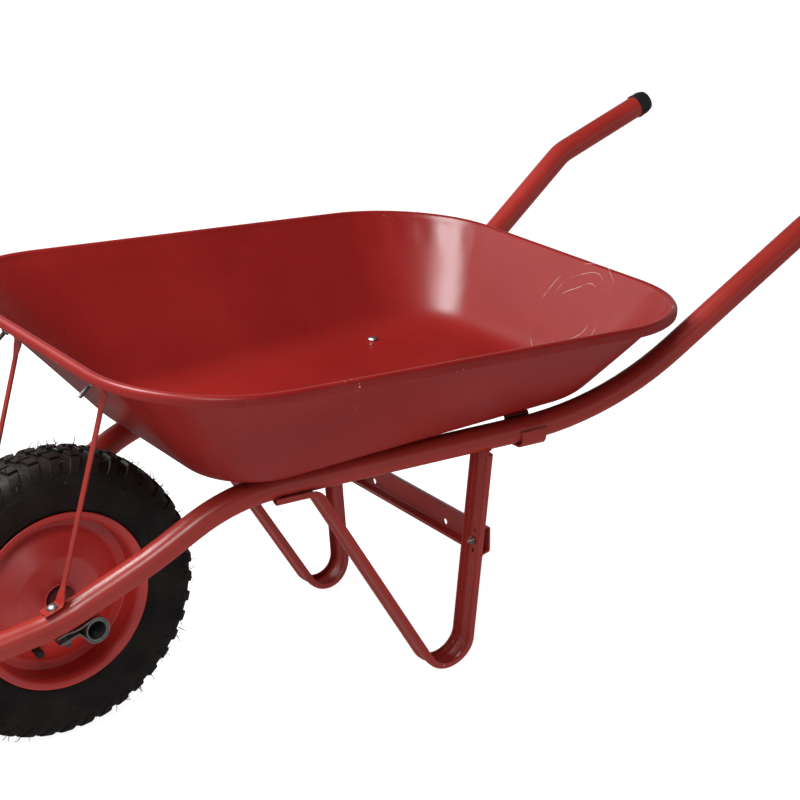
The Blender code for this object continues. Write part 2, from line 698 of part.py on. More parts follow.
def build_valve(centre, axis, discs):
    """A bent stem from the inner tube out through the left disc, with its screw cap."""
    out = Vector((math.cos(VALVE_ANGLE), 0, math.sin(VALVE_ANGLE)))
    corners = [(*(centre + out * 0.1080), 0.0), (*(centre + out * VALVE_RADIUS), 0.010),
               (*(centre + out * VALVE_RADIUS + Vector((0, -0.0240, 0))), 0.0)]
    points = rounded_path(corners)
    bm = bmesh.new()
    rings = []
    for point, tangent in zip(points, directions(points)):
        side = out.cross(ACROSS).normalized()
        rings.append(add_ring(bm, circle(point, side, tangent.cross(side), VALVE_STEM_R, 10)))
    for a, b in zip(rings, rings[1:]):
        bridge(bm, a, b)
    bm.faces.new(rings[0])
    bm.faces.new(reversed(rings[-1]))
    add_piece("valve_stem", bm, "black_rubber", axis)
    tip = centre + out * VALVE_RADIUS
    bore = (VALVE_STEM_R + GAP) / math.cos(math.pi / 10)
    cap = [(0, 0.0245), (bore, 0.0245), (bore, 0.0190), (0.0050, 0.0190), (0.0050, 0.0285), (0.0035, 0.0300),
           (0, 0.0300)]
    add_piece("valve_cap", turned([(r, -y) for r, y in cap], 10, tip), "black_plastic", axis)
    notch = (centre + out * 0.0600, centre + out * 0.1040, 0.0045)
    outlet = (tip, tip + Vector((0, -0.0200, 0)), 0.0045)
    drill(discs, "valve_drill", [notch])
    drill(discs[:1], "valve_outlet_drill", [outlet])


def build_wheel():
    axis = bpy.data.objects.new("wheel_axis", None)
    axis.location = WHEEL_CENTRE
    bpy.context.scene.collection.objects.link(axis)
    centre = Vector((0, 0, AXLE_Z))
    build_tyre(centre, axis)
    build_inner_tube(centre, axis)
    left = build_disc("left_wheel_disc", LEFT, centre, axis)
    right = build_disc("right_wheel_disc", RIGHT, centre, axis)
    build_valve(centre, axis, [left, right])
    sleeve("wheel_hub", BEARING_R + GAP, HUB_R, -HUB_HALF, HUB_HALF, RIGHT, "red_paint", axis)
    for word, side in (("left", LEFT), ("right", RIGHT)):
        sleeve(word + "_bearing", AXLE_R + GAP, BEARING_R, 0.0105, HUB_HALF, side, "steel", axis)
        sleeve(word + "_axle_spacer", AXLE_R + GAP, BEARING_R, HUB_HALF + 0.0010,
               AXLE_HALF - AXLE_STRAP_WIDTH - GAP, side, "steel")


# ---------------------------------------------------------------- the whole barrow
def build_barrow():
    frame_tube = build_frame_tube()
    tray = build_tray()
    brace = build_brace()
    crossbar = build_crossbar()
    build_axle()
    build_wheel()
    for word, side in (("left", LEFT), ("right", RIGHT)):
        build_end_cap(word + "_end_cap", side)
        leg = build_leg(word + "_leg", side)
        bolt_leg(word + "_brace", side, leg, brace)
        bolt_tray_floor(word + "_tray", side, tray, crossbar)
        stay = build_front_stay(word + "_front_stay", side)
        bolt_stay(word + "_stay", side, tray, stay)
        strap = build_axle_strap(word + "_axle_strap", side)
        bolt_axle_clamp(word + "_axle_clamp", side, [stay, frame_tube, strap])


build_barrow()
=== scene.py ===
# %% [markdown]
# # A steel wheelbarrow
#
# The barrow is a pressed tray on one bent tube, with two strap legs and one pneumatic wheel. Its working
# shape comes from a CAD frame in which only the wheel turns. This lesson builds the fine surface round that
# frame, piece by piece. Every piece takes the place of one or more CAD nodes and rides on their body, so it
# moves as they do.

# %% Load the frame
import json
import math

import bmesh
import bpy
from mathutils import Matrix, Vector


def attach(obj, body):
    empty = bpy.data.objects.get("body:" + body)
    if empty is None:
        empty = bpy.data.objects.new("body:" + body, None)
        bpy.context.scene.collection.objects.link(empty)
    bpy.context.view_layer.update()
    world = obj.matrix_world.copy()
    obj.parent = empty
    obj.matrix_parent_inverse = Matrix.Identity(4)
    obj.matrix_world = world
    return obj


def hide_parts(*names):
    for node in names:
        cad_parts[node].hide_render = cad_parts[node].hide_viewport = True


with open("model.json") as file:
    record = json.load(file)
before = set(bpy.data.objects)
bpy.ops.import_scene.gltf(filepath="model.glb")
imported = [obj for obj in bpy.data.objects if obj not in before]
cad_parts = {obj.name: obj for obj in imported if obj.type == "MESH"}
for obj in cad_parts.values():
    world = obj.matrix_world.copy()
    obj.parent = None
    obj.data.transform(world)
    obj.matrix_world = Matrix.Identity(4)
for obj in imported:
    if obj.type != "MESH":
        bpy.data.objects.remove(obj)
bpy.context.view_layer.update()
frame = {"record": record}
AXLE = Vector(frame["record"]["behaviour"]["joints"][0]["pos_m"])
ACROSS = Vector((0, 1, 0))
UP = Vector((0, 0, 1))

# %% [markdown]
# ## Paths with rounded corners
#
# Nearly every part is something bent: a tube, a strip or a sheet. A drawing would give the corners where the
# straight stretches meet and a radius for each bend. The same is done here. One helper turns such a list
# into a fine row of points, and another gives the direction at each of them. Short steps along the straights
# leave room for small dents and a lively surface later on.

# %% Path helpers
TURN_STEP = math.radians(4)
LONGEST_STEP = 0.02


def rounded_path(corners, longest=LONGEST_STEP, turn_step=TURN_STEP):
    """Corners as (x, y, z, radius) become evenly fine points, with each corner turned into an arc."""
    points = []
    for i, corner in enumerate(corners):
        here = Vector(corner[:3])
        if corner[3] == 0.0:
            points.append(here)
            continue
        back = (Vector(corners[i - 1][:3]) - here).normalized()
        ahead = (Vector(corners[i + 1][:3]) - here).normalized()
        half = back.angle(ahead) / 2
        centre = here + (back + ahead).normalized() * corner[3] / math.sin(half)
        start = here + back * corner[3] / math.tan(half) - centre
        turn = math.pi - 2 * half
        side = start.cross(back.cross(ahead).normalized())
        count = max(2, math.ceil(turn / turn_step))
        for k in range(count + 1):
            angle = turn * k / count
            points.append(centre + start * math.cos(angle) + side * math.sin(angle))
    fine = [points[0]]
    for a, b in zip(points, points[1:]):
        pieces = max(1, math.ceil((b - a).length / longest))
        fine += [a.lerp(b, k / pieces) for k in range(1, pieces + 1)]
    return fine


def directions(points):
    """Unit tangent at each point of an open path."""
    result = []
    for i in range(len(points)):
        ahead = points[min(i + 1, len(points) - 1)] - points[i]
        behind = points[i] - points[max(i - 1, 0)]
        result.append((ahead.normalized() + behind.normalized()).normalized())
    return result


def smooth_step(low, high, value):
    """0 below low, 1 above high, and an S-curve between."""
    t = min(1.0, max(0.0, (value - low) / (high - low)))
    return t * t * (3 - 2 * t)


# %% [markdown]
# ## From points to a finished piece
#
# A strip, a tube and a turned part are all rows of rings joined by faces, so a few short helpers are enough.
# An object stays at the origin with its place in its mesh, so patterns on Object coordinates never slide.

# %% Mesh helpers
SHARP = math.radians(32)


def bridge(bm, first, second):
    count = len(first)
    for i in range(count):
        j = (i + 1) % count
        bm.faces.new((first[i], first[j], second[j], second[i]))


def strip(points, sides, section):
    """A bent strip; section is a closed outline of (along side, along the path's normal)."""
    bm = bmesh.new()
    rings = []
    for k, (point, tangent, side) in enumerate(zip(points, directions(points), sides)):
        normal = side.cross(tangent).normalized()
        outline = section(k) if callable(section) else section
        rings.append([bm.verts.new(point + side * u + normal * v) for u, v in outline])
    for a, b in zip(rings, rings[1:]):
        bridge(bm, a, b)
    bm.faces.new(rings[0])
    bm.faces.new(reversed(rings[-1]))
    return bm


def sheet_section(corners, thickness, turn_step=math.radians(18)):
    """The middle line of a folded sheet, as (u, v, radius), becomes the sheet's closed outline."""
    middle = rounded_path([(u, v, 0.0, r) for u, v, r in corners], 1.0, turn_step)
    one_side = []
    other_side = []
    for point, tangent in zip(middle, directions(middle)):
        normal = Vector((-tangent.y, tangent.x, 0)) * thickness / 2
        one_side.append((point + normal).to_2d())
        other_side.append((point - normal).to_2d())
    return [tuple(place) for place in one_side + other_side[::-1]]


def turned(profile, sides, centre, axis=ACROSS):
    """Spin a closed profile of (radius, along axis) round an axis; radius 0 makes a pole."""
    bm = bmesh.new()
    axis = axis.normalized()
    start = Vector((1, 0, 0)) if abs(axis.y) > 0.9 else ACROSS
    across = (start - axis * start.dot(axis)).normalized()
    up = axis.cross(across)
    turns = [2 * math.pi * i / sides for i in range(sides)]
    rings = []
    for radius, along in profile:
        middle = centre + axis * along
        if radius == 0.0:
            rings.append([bm.verts.new(middle)])
        else:
            rings.append([bm.verts.new(middle + radius * (across * math.cos(a) + up * math.sin(a)))
                          for a in turns])
    for a, b in zip(rings, rings[1:] + rings[:1]):
        if len(a) == len(b) == 1:
            continue
        if len(a) == 1 or len(b) == 1:
            pole, ring = (a[0], b) if len(a) == 1 else (b[0], a)
            for i in range(sides):
                bm.faces.new((pole, ring[i], ring[(i + 1) % sides]))
        else:
            bridge(bm, a, b)
    return bm


def eased(profile, radius, steps=3):
    """A closed (radius, along) profile with its corners rounded off; points on the axis stay sharp."""
    result = []
    count = len(profile)
    for i, (r, y) in enumerate(profile):
        here = Vector((r, y))
        before = Vector(profile[i - 1]) - here
        after = Vector(profile[(i + 1) % count]) - here
        if r == 0.0:
            result.append((r, y))
            continue
        reach = min(radius, before.length * 0.45, after.length * 0.45)
        a = here + before.normalized() * reach
        b = here + after.normalized() * reach
        for k in range(steps + 1):
            t = k / steps
            result.append(tuple(a * (1 - t) ** 2 + here * 2 * t * (1 - t) + b * t ** 2))
    return result


def finish(name, source, material, body, nodes, recalc=True):
    """Make a shaded object of a bmesh or mesh, hang it on its body, and hide the CAD nodes it stands for."""
    if isinstance(source, bmesh.types.BMesh):
        if recalc:
            bmesh.ops.recalc_face_normals(source, faces=source.faces)
        mesh = bpy.data.meshes.new(name)
        source.to_mesh(mesh)
        source.free()
    else:
        mesh = source
        mesh.name = name
    mesh.transform(Matrix.Translation((AXLE.x, 0, 0)))
    mesh.shade_smooth()
    mesh.set_sharp_from_angle(angle=SHARP)
    mesh.materials.clear()
    mesh.materials.append(material)
    piece = bpy.data.objects.new(name, mesh)
    bpy.context.scene.collection.objects.link(piece)
    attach(piece, body)
    if nodes:
        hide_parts(*nodes)
    print(name, len(mesh.polygons), "faces")
    return piece

# %% [markdown]
# ## Node trees written as code
#
# Materials and Geometry Nodes are both trees of nodes. One small helper adds a node, sets its choices, and
# either links each input or gives it a value, which keeps the trees below as short as a recipe.

# %% Node helper
def add_node(tree, kind, inputs=None, **choices):
    node = tree.nodes.new(kind)
    for key, value in choices.items():
        setattr(node, key, value)
    for key, value in (inputs or {}).items():
        if isinstance(value, bpy.types.NodeSocket):
            tree.links.new(value, node.inputs[key])
        else:
            node.inputs[key].default_value = value
    return node


def math_node(tree, operation, a, b=0.0):
    return add_node(tree, 'ShaderNodeMath', {0: a, 1: b}, operation=operation, use_clamp=True).outputs[0]


def spread(tree, value, low, high, new_low, new_high):
    """Stretch the stretch low..high of a value to new_low..new_high, and clamp it there."""
    return add_node(tree, 'ShaderNodeMapRange', {"Value": value, "From Min": low, "From Max": high,
                                                 "To Min": new_low, "To Max": new_high}).outputs[0]


def noise(tree, where, scale, detail=3.0, rough=0.5):
    return add_node(tree, 'ShaderNodeTexNoise', {"Vector": where, "Scale": scale, "Detail": detail,
                                                 "Roughness": rough}).outputs[0]


def blend_colour(tree, share, a, b):
    mix = add_node(tree, 'ShaderNodeMix', {0: share, 6: a, 7: b}, data_type='RGBA')
    return mix.outputs[2]


def new_material(name):
    material = bpy.data.materials.new(name)
    material.use_nodes = True
    tree = material.node_tree
    where = add_node(tree, 'ShaderNodeTexCoord').outputs["Object"]
    return material, tree, tree.nodes["Principled BSDF"], where


def set_bump(tree, shader, heights):
    """Chain (height, strength, distance) layers into the shader's normal."""
    normal = None
    for height, strength, distance in heights:
        inputs = {"Height": height, "Strength": strength, "Distance": distance}
        if normal:
            inputs["Normal"] = normal
        normal = add_node(tree, 'ShaderNodeBump', inputs).outputs[0]
    tree.links.new(normal, shader.inputs["Normal"])


# %% [markdown]
# ## Red enamel on steel
#
# The whole barrow is dipped or sprayed in one cheap gloss red. It's a little thicker in some places than in
# others, so both its colour and its gloss drift, and the surface has a faint orange peel. Where it has been
# knocked it shows pale chips and hair-thin curved scratches. A wear attribute on the mesh says where knocks
# are likely, such as on a rim, and the same tree serves every painted piece with its own amounts. The wheel's
# copy of the red has a brighter base colour. That is painted light, standing in for the highlights there.

# % Paint
SCUFF_CENTRE = (0.737 + AXLE.x, -0.058, 0.429)


def paint(name, deep, bright, gloss, ior, chips, scratches):
    material, tree, shader, where = new_material(name)
    wear = add_node(tree, 'ShaderNodeAttribute', attribute_name="wear").outputs["Fac"]
    cloud = noise(tree, where, 5.0, 3.0)
    fine = noise(tree, where, 70.0, 3.0)
    colour = blend_colour(tree, spread(tree, cloud, 0.30, 0.70, 0.0, 1.0), deep, bright)
    dirt = spread(tree, fine, 0.55, 0.85, 0.0, 0.20)
    colour = blend_colour(tree, dirt, colour, (deep[0] * 0.5, deep[1] * 0.8, deep[2] * 0.8, 1.0))

    flecks = add_node(tree, 'ShaderNodeTexVoronoi', {"Vector": where, "Scale": 230.0, "Randomness": 1.0})
    place = noise(tree, where, 21.0, 5.0, 0.65)
    room = spread(tree, place, 0.62, 0.80, 0.0, chips)
    worn = math_node(tree, 'MULTIPLY', wear, spread(tree, place, 0.46, 0.68, 0.0, 0.50))
    size = math_node(tree, 'ADD', room, worn)
    torn = spread(tree, noise(tree, where, 520.0, 4.0, 0.7), 0.3, 0.7, 0.0, 0.34)
    ragged = math_node(tree, 'ADD', flecks.outputs["Distance"], torn)
    chip = math_node(tree, 'LESS_THAN', ragged, size)

    waver = add_node(tree, 'ShaderNodeTexNoise',
                     {"Vector": where, "Scale": 9.0, "Detail": 2.0}).outputs["Color"]
    pull = add_node(tree, 'ShaderNodeVectorMath', {0: waver, "Scale": 0.05}, operation='SCALE').outputs[0]
    bent = add_node(tree, 'ShaderNodeVectorMath', {0: where, 1: pull}, operation='ADD').outputs[0]
    away = add_node(tree, 'ShaderNodeVectorMath', {0: bent, 1: SCUFF_CENTRE},
                    operation='DISTANCE').outputs["Value"]
    rings = add_node(tree, 'ShaderNodeMath', {0: away, 1: 0.0072}, operation='PINGPONG').outputs[0]
    line = math_node(tree, 'LESS_THAN', rings, 0.00026)
    near = math_node(tree, 'LESS_THAN', away, 0.085)
    broken = spread(tree, noise(tree, where, 24.0, 3.0), 0.50, 0.60, 0.0, 1.0)
    few = spread(tree, noise(tree, where, 6.5, 2.0), 0.60, 0.68, 0.0, scratches * 0.4)
    cells = add_node(tree, 'ShaderNodeTexVoronoi', {"Vector": bent, "Scale": 9.0},
                     feature='DISTANCE_TO_EDGE').outputs["Distance"]
    hairline = math_node(tree, 'MULTIPLY', math_node(tree, 'LESS_THAN', cells, 0.0022), few)
    scuff = math_node(tree, 'MULTIPLY', math_node(tree, 'MULTIPLY', line, near), scratches)
    scratch = math_node(tree, 'MULTIPLY', math_node(tree, 'MAXIMUM', scuff, hairline), broken)
    bare = math_node(tree, 'MAXIMUM', chip, scratch)

    colour = blend_colour(tree, bare, colour, (0.50, 0.40, 0.37, 1.0))
    tree.links.new(colour, shader.inputs["Base Color"])
    sheen_of_gloss = spread(tree, cloud, 0.3, 0.7, gloss, gloss + 0.09)
    rough = math_node(tree, 'MAXIMUM', sheen_of_gloss, math_node(tree, 'MULTIPLY', bare, 0.6))
    tree.links.new(rough, shader.inputs["Roughness"])
    shader.inputs["IOR"].default_value = ior
    set_bump(tree, shader, [(noise(tree, where, 16.0, 2.0), 0.12, 0.006),
                            (noise(tree, where, 420.0), 0.05, 0.0006),
                            (math_node(tree, 'SUBTRACT', 1.0, bare), 0.5, 0.0002)])
    return material


TRAY_RED = paint("tray_red", (0.165, 0.0070, 0.0056, 1), (0.215, 0.0105, 0.0085, 1), 0.30, 1.38, 0.20, 0.75)
FRAME_RED = paint("frame_red", (0.22, 0.0160, 0.0115, 1), (0.29, 0.0230, 0.0160, 1), 0.25, 1.50, 0.12, 0.30)
# The wheel's red is the same paint with a brighter base colour: painted highlight on the discs, hub and hub
# welds.
LIT_DISC_RED = paint("disc_red_painted_lit", (0.33, 0.0160, 0.0120, 1), (0.42, 0.0210, 0.0160, 1), 0.30, 1.62, 0.05, 0.20)
print("three paints")

# %% [markdown]
# ## Bare metal, rubber and plastic
#
# Bolts, the axle and its straps are zinc plated: a cool grey metal whose crystals catch the light in patches.
# Tyre rubber is nearly black with a brown cast, and is never quite clean. The handle caps are moulded plastic
# with a fine grain. Each one is a short recipe of noise at a small scale.

# %% Metal, rubber and plastic
def plain_metal(name, colour, rough, spangle):
    material, tree, shader, where = new_material(name)
    crystal = add_node(tree, 'ShaderNodeTexVoronoi', {"Vector": where, "Scale": spangle}).outputs["Color"]
    tone = spread(tree, crystal, 0.0, 1.0, 0.0, 1.0)
    dark = tuple(c * 0.62 for c in colour)
    tree.links.new(blend_colour(tree, tone, (*dark, 1), (*colour, 1)), shader.inputs["Base Color"])
    grime = noise(tree, where, 90.0, 5.0, 0.7)
    tree.links.new(spread(tree, grime, 0.3, 0.7, rough, rough + 0.22), shader.inputs["Roughness"])
    shader.inputs["Metallic"].default_value = 1.0
    set_bump(tree, shader, [(noise(tree, where, 700.0), 0.12, 0.0004), (grime, 0.1, 0.0008)])
    return material


def moulded(name, dark, light, rough, grain, dust):
    material, tree, shader, where = new_material(name)
    patches = noise(tree, where, 22.0, 4.0)
    speck = noise(tree, where, 260.0, 3.0, 0.7)
    colour = blend_colour(tree, spread(tree, patches, 0.35, 0.65, 0.0, 1.0), dark, light)
    colour = blend_colour(tree, spread(tree, speck, 0.60, 0.80, 0.0, dust), colour, (0.16, 0.13, 0.11, 1))
    tree.links.new(colour, shader.inputs["Base Color"])
    tree.links.new(spread(tree, patches, 0.3, 0.7, rough, rough + 0.15), shader.inputs["Roughness"])
    shader.inputs["Specular IOR Level"].default_value = 0.18
    set_bump(tree, shader, [(noise(tree, where, grain, 4.0), 0.25, 0.0006), (patches, 0.08, 0.002)])
    return material


ZINC = plain_metal("zinc_plate", (0.66, 0.66, 0.64), 0.22, 160.0)
DARK_STEEL = plain_metal("dark_steel", (0.30, 0.28, 0.27), 0.30, 220.0)
TYRE_BLACK = moulded("tyre_black", (0.006, 0.005, 0.0045, 1), (0.012, 0.009, 0.008, 1), 0.40, 480.0, 0.10)
CAP_BLACK = moulded("cap_black", (0.010, 0.010, 0.010, 1), (0.018, 0.018, 0.018, 1), 0.34, 900.0, 0.10)
print("two metals, one rubber, one plastic")

# %% [markdown]
# ## The frame tube
#
# One steel tube, 31.75 mm thick, starts at the left handle, runs under the tray, dips to the axle, bends round
# in front of the wheel and comes back the same way. A bent tube is a rule: a circle that follows a path. So
# this main piece is a Geometry Nodes tree with the tube's radius and its number of sides as named inputs.
# The path itself is a mesh of edges, which the tree turns into a curve and sweeps.

# %% The frame's path
TUBE_R = 0.015875
NOSE_X = -0.214
GAP = 0.0003
RAIL = [(NOSE_X, 0.088, 0.1620, 0.062), (-0.0463, 0.1100, 0.1939, 0.250), (0.0656, 0.1215, 0.2437, 0.600),
        (0.1743, 0.1327, 0.3046, 0.240), (0.671, 0.2042, 0.3231, 0.420), (0.9665, 0.2470, 0.5251, 0.080),
        (1.126, 0.2470, 0.5831, 0.0)]
FRAME_PATH = rounded_path([(x, -y, z, r) for x, y, z, r in reversed(RAIL)] + RAIL, 0.01, math.radians(3))
RAIL_POINTS = [point for point in FRAME_PATH if point.y > 0.08]
FLOOR_SLOPE = (RAIL[4][2] - RAIL[3][2]) / (RAIL[4][0] - RAIL[3][0])


def rail_at(x):
    """Middle of the right-hand rail at x, and the unit direction in which it runs there."""
    for a, b in zip(RAIL_POINTS, RAIL_POINTS[1:]):
        if a.x <= x <= b.x:
            return a.lerp(b, (x - a.x) / (b.x - a.x)), (b - a).normalized()
    raise ValueError(x)


def mirrored(vector, side):
    return Vector((vector.x, vector.y * side, vector.z))


print("tube length", round(sum((b - a).length for a, b in zip(FRAME_PATH, FRAME_PATH[1:])), 3), "m")

# %% Geometry Nodes helpers
def new_tree(name, sizes):
    """A Geometry Nodes tree with a geometry in and out, and a named number for each size."""
    tree = bpy.data.node_groups.new(name, 'GeometryNodeTree')
    tree.interface.new_socket("Geometry", in_out='INPUT', socket_type='NodeSocketGeometry')
    for title, value in sizes.items():
        kind = 'NodeSocketInt' if isinstance(value, int) else 'NodeSocketFloat'
        socket = tree.interface.new_socket(title, in_out='INPUT', socket_type=kind)
        socket.default_value = value
    tree.interface.new_socket("Geometry", in_out='OUTPUT', socket_type='NodeSocketGeometry')
    return tree, tree.nodes.new('NodeGroupInput').outputs, tree.nodes.new('NodeGroupOutput').inputs


def close_tree(tree, geometry, end, material):
    """Realize, set the material and link to the output, as every tree here ends."""
    solid = add_node(tree, 'GeometryNodeRealizeInstances', {"Geometry": geometry}).outputs[0]
    dressed = add_node(tree, 'GeometryNodeSetMaterial', {"Geometry": solid, "Material": material}).outputs[0]
    tree.links.new(dressed, end["Geometry"])


def grow(source, tree, sizes):
    """Run a tree on a mesh with these sizes and return the result as a plain mesh."""
    holder = bpy.data.objects.new("holder", source)
    bpy.context.scene.collection.objects.link(holder)
    modifier = holder.modifiers.new(tree.name, 'NODES')
    modifier.node_group = tree
    for item in tree.interface.items_tree:
        if item.in_out == 'INPUT' and item.name in sizes:
            modifier[item.identifier] = sizes[item.name]
    graph = bpy.context.evaluated_depsgraph_get()
    grown = holder.evaluated_get(graph)
    mesh = bpy.data.meshes.new_from_object(grown, preserve_all_data_layers=True, depsgraph=graph)
    holder.modifiers.clear()
    bpy.data.objects.remove(holder, do_unlink=True)
    return mesh


def point_mesh(name, points, edges=(), **attributes):
    """A mesh of loose points or edges, with named vectors or numbers on its points."""
    mesh = bpy.data.meshes.new(name)
    mesh.from_pydata(points, edges, [])
    for title, values in attributes.items():
        is_vector = hasattr(values[0], "__len__")
        layer = mesh.attributes.new(title, 'FLOAT_VECTOR' if is_vector else 'FLOAT', 'POINT')
        for item, value in zip(layer.data, values):
            if is_vector:
                item.vector = value
            else:
                item.value = value
    return mesh


# %% Sweep the tube
tube_tree, size_in, end = new_tree("tube_along_path", {"Radius": TUBE_R, "Sides": 56})
spine = add_node(tube_tree, 'GeometryNodeMeshToCurve', {"Mesh": size_in["Geometry"]}).outputs[0]
round_section = add_node(tube_tree, 'GeometryNodeCurvePrimitiveCircle',
                         {"Resolution": size_in["Sides"], "Radius": size_in["Radius"]}).outputs[0]
swept = add_node(tube_tree, 'GeometryNodeCurveToMesh', {"Curve": spine, "Profile Curve": round_section,
                                                        "Fill Caps": True}).outputs[0]
close_tree(tube_tree, swept, end, FRAME_RED)

path_mesh = point_mesh("frame_path", FRAME_PATH, [(i, i + 1) for i in range(len(FRAME_PATH) - 1)])
tube_mesh = grow(path_mesh, tube_tree, {"Radius": TUBE_R, "Sides": 56})
DENT_X = -0.030
for vertex in tube_mesh.vertices:
    knock = math.exp(-((vertex.co.x - DENT_X) / 0.006) ** 2) * (vertex.co.y < 0) * (vertex.co.z > 0.205)
    vertex.co.z -= 0.0006 * knock
tube_wear = tube_mesh.attributes.new("wear", 'FLOAT', 'POINT')
for item, vertex in zip(tube_wear.data, tube_mesh.vertices):
    item.value = 0.75 * smooth_step(-0.06, -0.16, vertex.co.x) + 0.15
finish("rail_tube", tube_mesh, FRAME_RED, "body", ["frame_tube"])

# %% [markdown]
# ## Handle caps
#
# A soft black cup is pushed over each end of the tube. It is a turned shape: one profile spun round the
# handle's own line, with its rim and its end edge rounded and a shallow moulded ring before the mouth.

# %% Handle caps
CAP_INNER = 0.0162
CAP_OUTER = 0.0177
CAP_LENGTH = 0.018
CAP_END = 0.0043
cap_profile = [(0, 0.0003), (CAP_INNER, 0.0003), (CAP_INNER, -CAP_LENGTH), (CAP_OUTER, -CAP_LENGTH),
               (CAP_OUTER, -CAP_LENGTH + 0.003), (CAP_OUTER - 0.0005, -CAP_LENGTH + 0.0036),
               (CAP_OUTER - 0.0005, -0.004), (CAP_OUTER - 0.0030, CAP_END), (0, CAP_END)]
for word, side in (("left", -1), ("right", 1)):
    tip = mirrored(Vector(RAIL[-1][:3]), side)
    before = mirrored(Vector(RAIL[-2][:3]), side)
    cap = turned(eased(cap_profile, 0.0012), 64, tip, tip - before)
    finish(word + "_handle_cap", cap, CAP_BLACK, "body", [word + "_end_cap"])

# %% [markdown]
# ## The pressed tray
#
# A press pushes flat sheet into a bowl with sloping walls, a wide bend all round the floor and a rim that is
# rolled outwards. The sheet has too much length round the corners, so it gathers there into upright flutes
# just under the rim. The bowl is built as rings that run from the rim's lower edge, over its top, down the
# wall, round the bend and in over the floor. Each ring has the same number of points, so the walls are ruled
# surfaces, as pressed ones nearly are. The flutes are pushed in along the surface's own normals, and Solidify
# gives the sheet its thickness.

# %% Rings of the tray
SHEET = 0.0015
RIM = dict(front=-0.0145, rear=0.7698, front_half=0.3221, rear_half=0.3210, corner=0.1624)
FLOOR = dict(front=0.1493, rear=0.6847, front_half=0.1753, rear_half=0.1857, corner=0.0851)
RIM_FRONT_Z = 0.5029
RIM_REAR_Z = 0.4655
BEND_REACH = 0.0292
LIP_DROP = 0.013
WALL_IN = 0.011
ARC_STEPS = 30
SIDE_STEPS = 26


def outline(front, rear, front_half, rear_half, corner, inset=0.0):
    """Plan outline with four round corners, and for each point how near it is to a corner's middle."""
    front, rear = front + inset, rear - inset
    front_half, rear_half, corner = front_half - inset, rear_half - inset, corner - inset
    arcs = []
    for x, y, start in ((rear, -rear_half, -90), (rear, rear_half, 0), (front, front_half, 90),
                        (front, -front_half, 180)):
        middle_x = x - math.copysign(corner, x - (front + rear) / 2)
        middle_y = y - math.copysign(corner, y)
        arc = []
        for k in range(ARC_STEPS + 1):
            angle = math.radians(start + 90 * k / ARC_STEPS)
            arc.append((middle_x + corner * math.cos(angle), middle_y + corner * math.sin(angle)))
        arcs.append(arc)
    places = []
    for arc, following in zip(arcs, arcs[1:] + arcs[:1]):
        places += arc
        (ax, ay), (bx, by) = arc[-1], following[0]
        places += [(ax + (bx - ax) * k / SIDE_STEPS, ay + (by - ay) * k / SIDE_STEPS)
                   for k in range(1, SIDE_STEPS)]
    return places


def floor_z(x):
    """Underside of the tray's floor, which lies on the rails and slopes with them."""
    return RAIL[3][2] + TUBE_R + GAP + FLOOR_SLOPE * (x - RAIL[3][0])


def rim_ring(inset, drop):
    t_of = lambda x: (x - RIM["front"]) / (RIM["rear"] - RIM["front"])
    return [Vector((x, y, RIM_FRONT_Z + t_of(x) * (RIM_REAR_Z - RIM_FRONT_Z) - drop))
            for x, y in outline(**RIM, inset=inset)]


def floor_ring(inset):
    return [Vector((x, y, floor_z(x) + SHEET)) for x, y in outline(**FLOOR, inset=inset)]


print("ring of", len(rim_ring(0, 0)), "points")

# %% Build the tray
lip = [(0.0045, 0.0125), (0.0020, LIP_DROP), (0.0006, 0.0118), (0.0, 0.0090), (0.0, 0.0050), (0.0006, 0.0028),
       (0.0020, 0.0010), (0.0040, 0.0001), (0.0062, 0.0), (0.0083, 0.0006), (0.0099, 0.0020)]
tray_rings = [rim_ring(inset, drop) for inset, drop in lip]
wall_top = rim_ring(WALL_IN, 0.0040)
low_corner = floor_ring(0.0)
bend_top = [low + (high - low).normalized() * BEND_REACH for low, high in zip(low_corner, wall_top)]
flat_edge = floor_ring(BEND_REACH)
WALL_RINGS = 34
BEND_RINGS = 14
first_wall_ring = len(tray_rings)
for k in range(WALL_RINGS):
    tray_rings.append([high.lerp(low, k / WALL_RINGS) for high, low in zip(wall_top, bend_top)])
for k in range(BEND_RINGS + 1):
    t = k / BEND_RINGS
    tray_rings.append([a * (1 - t) ** 2 + b * 2 * t * (1 - t) + c * t ** 2
                       for a, b, c in zip(bend_top, low_corner, flat_edge)])
for inset in (0.038, 0.047, 0.056, 0.065, 0.074, 0.082):
    tray_rings.append(floor_ring(inset))

tray_mesh = bmesh.new()
wear_layer = tray_mesh.verts.layers.float.new("wear")
rows = [[tray_mesh.verts.new(place) for place in ring] for ring in tray_rings]
for upper, lower in zip(rows, rows[1:]):
    bridge(tray_mesh, upper, lower)
middle_face = tray_mesh.faces.new(rows[-1])
middle_face.normal_update()
if middle_face.normal.z < 0:
    bmesh.ops.reverse_faces(tray_mesh, faces=tray_mesh.faces)
tray_mesh.normal_update()

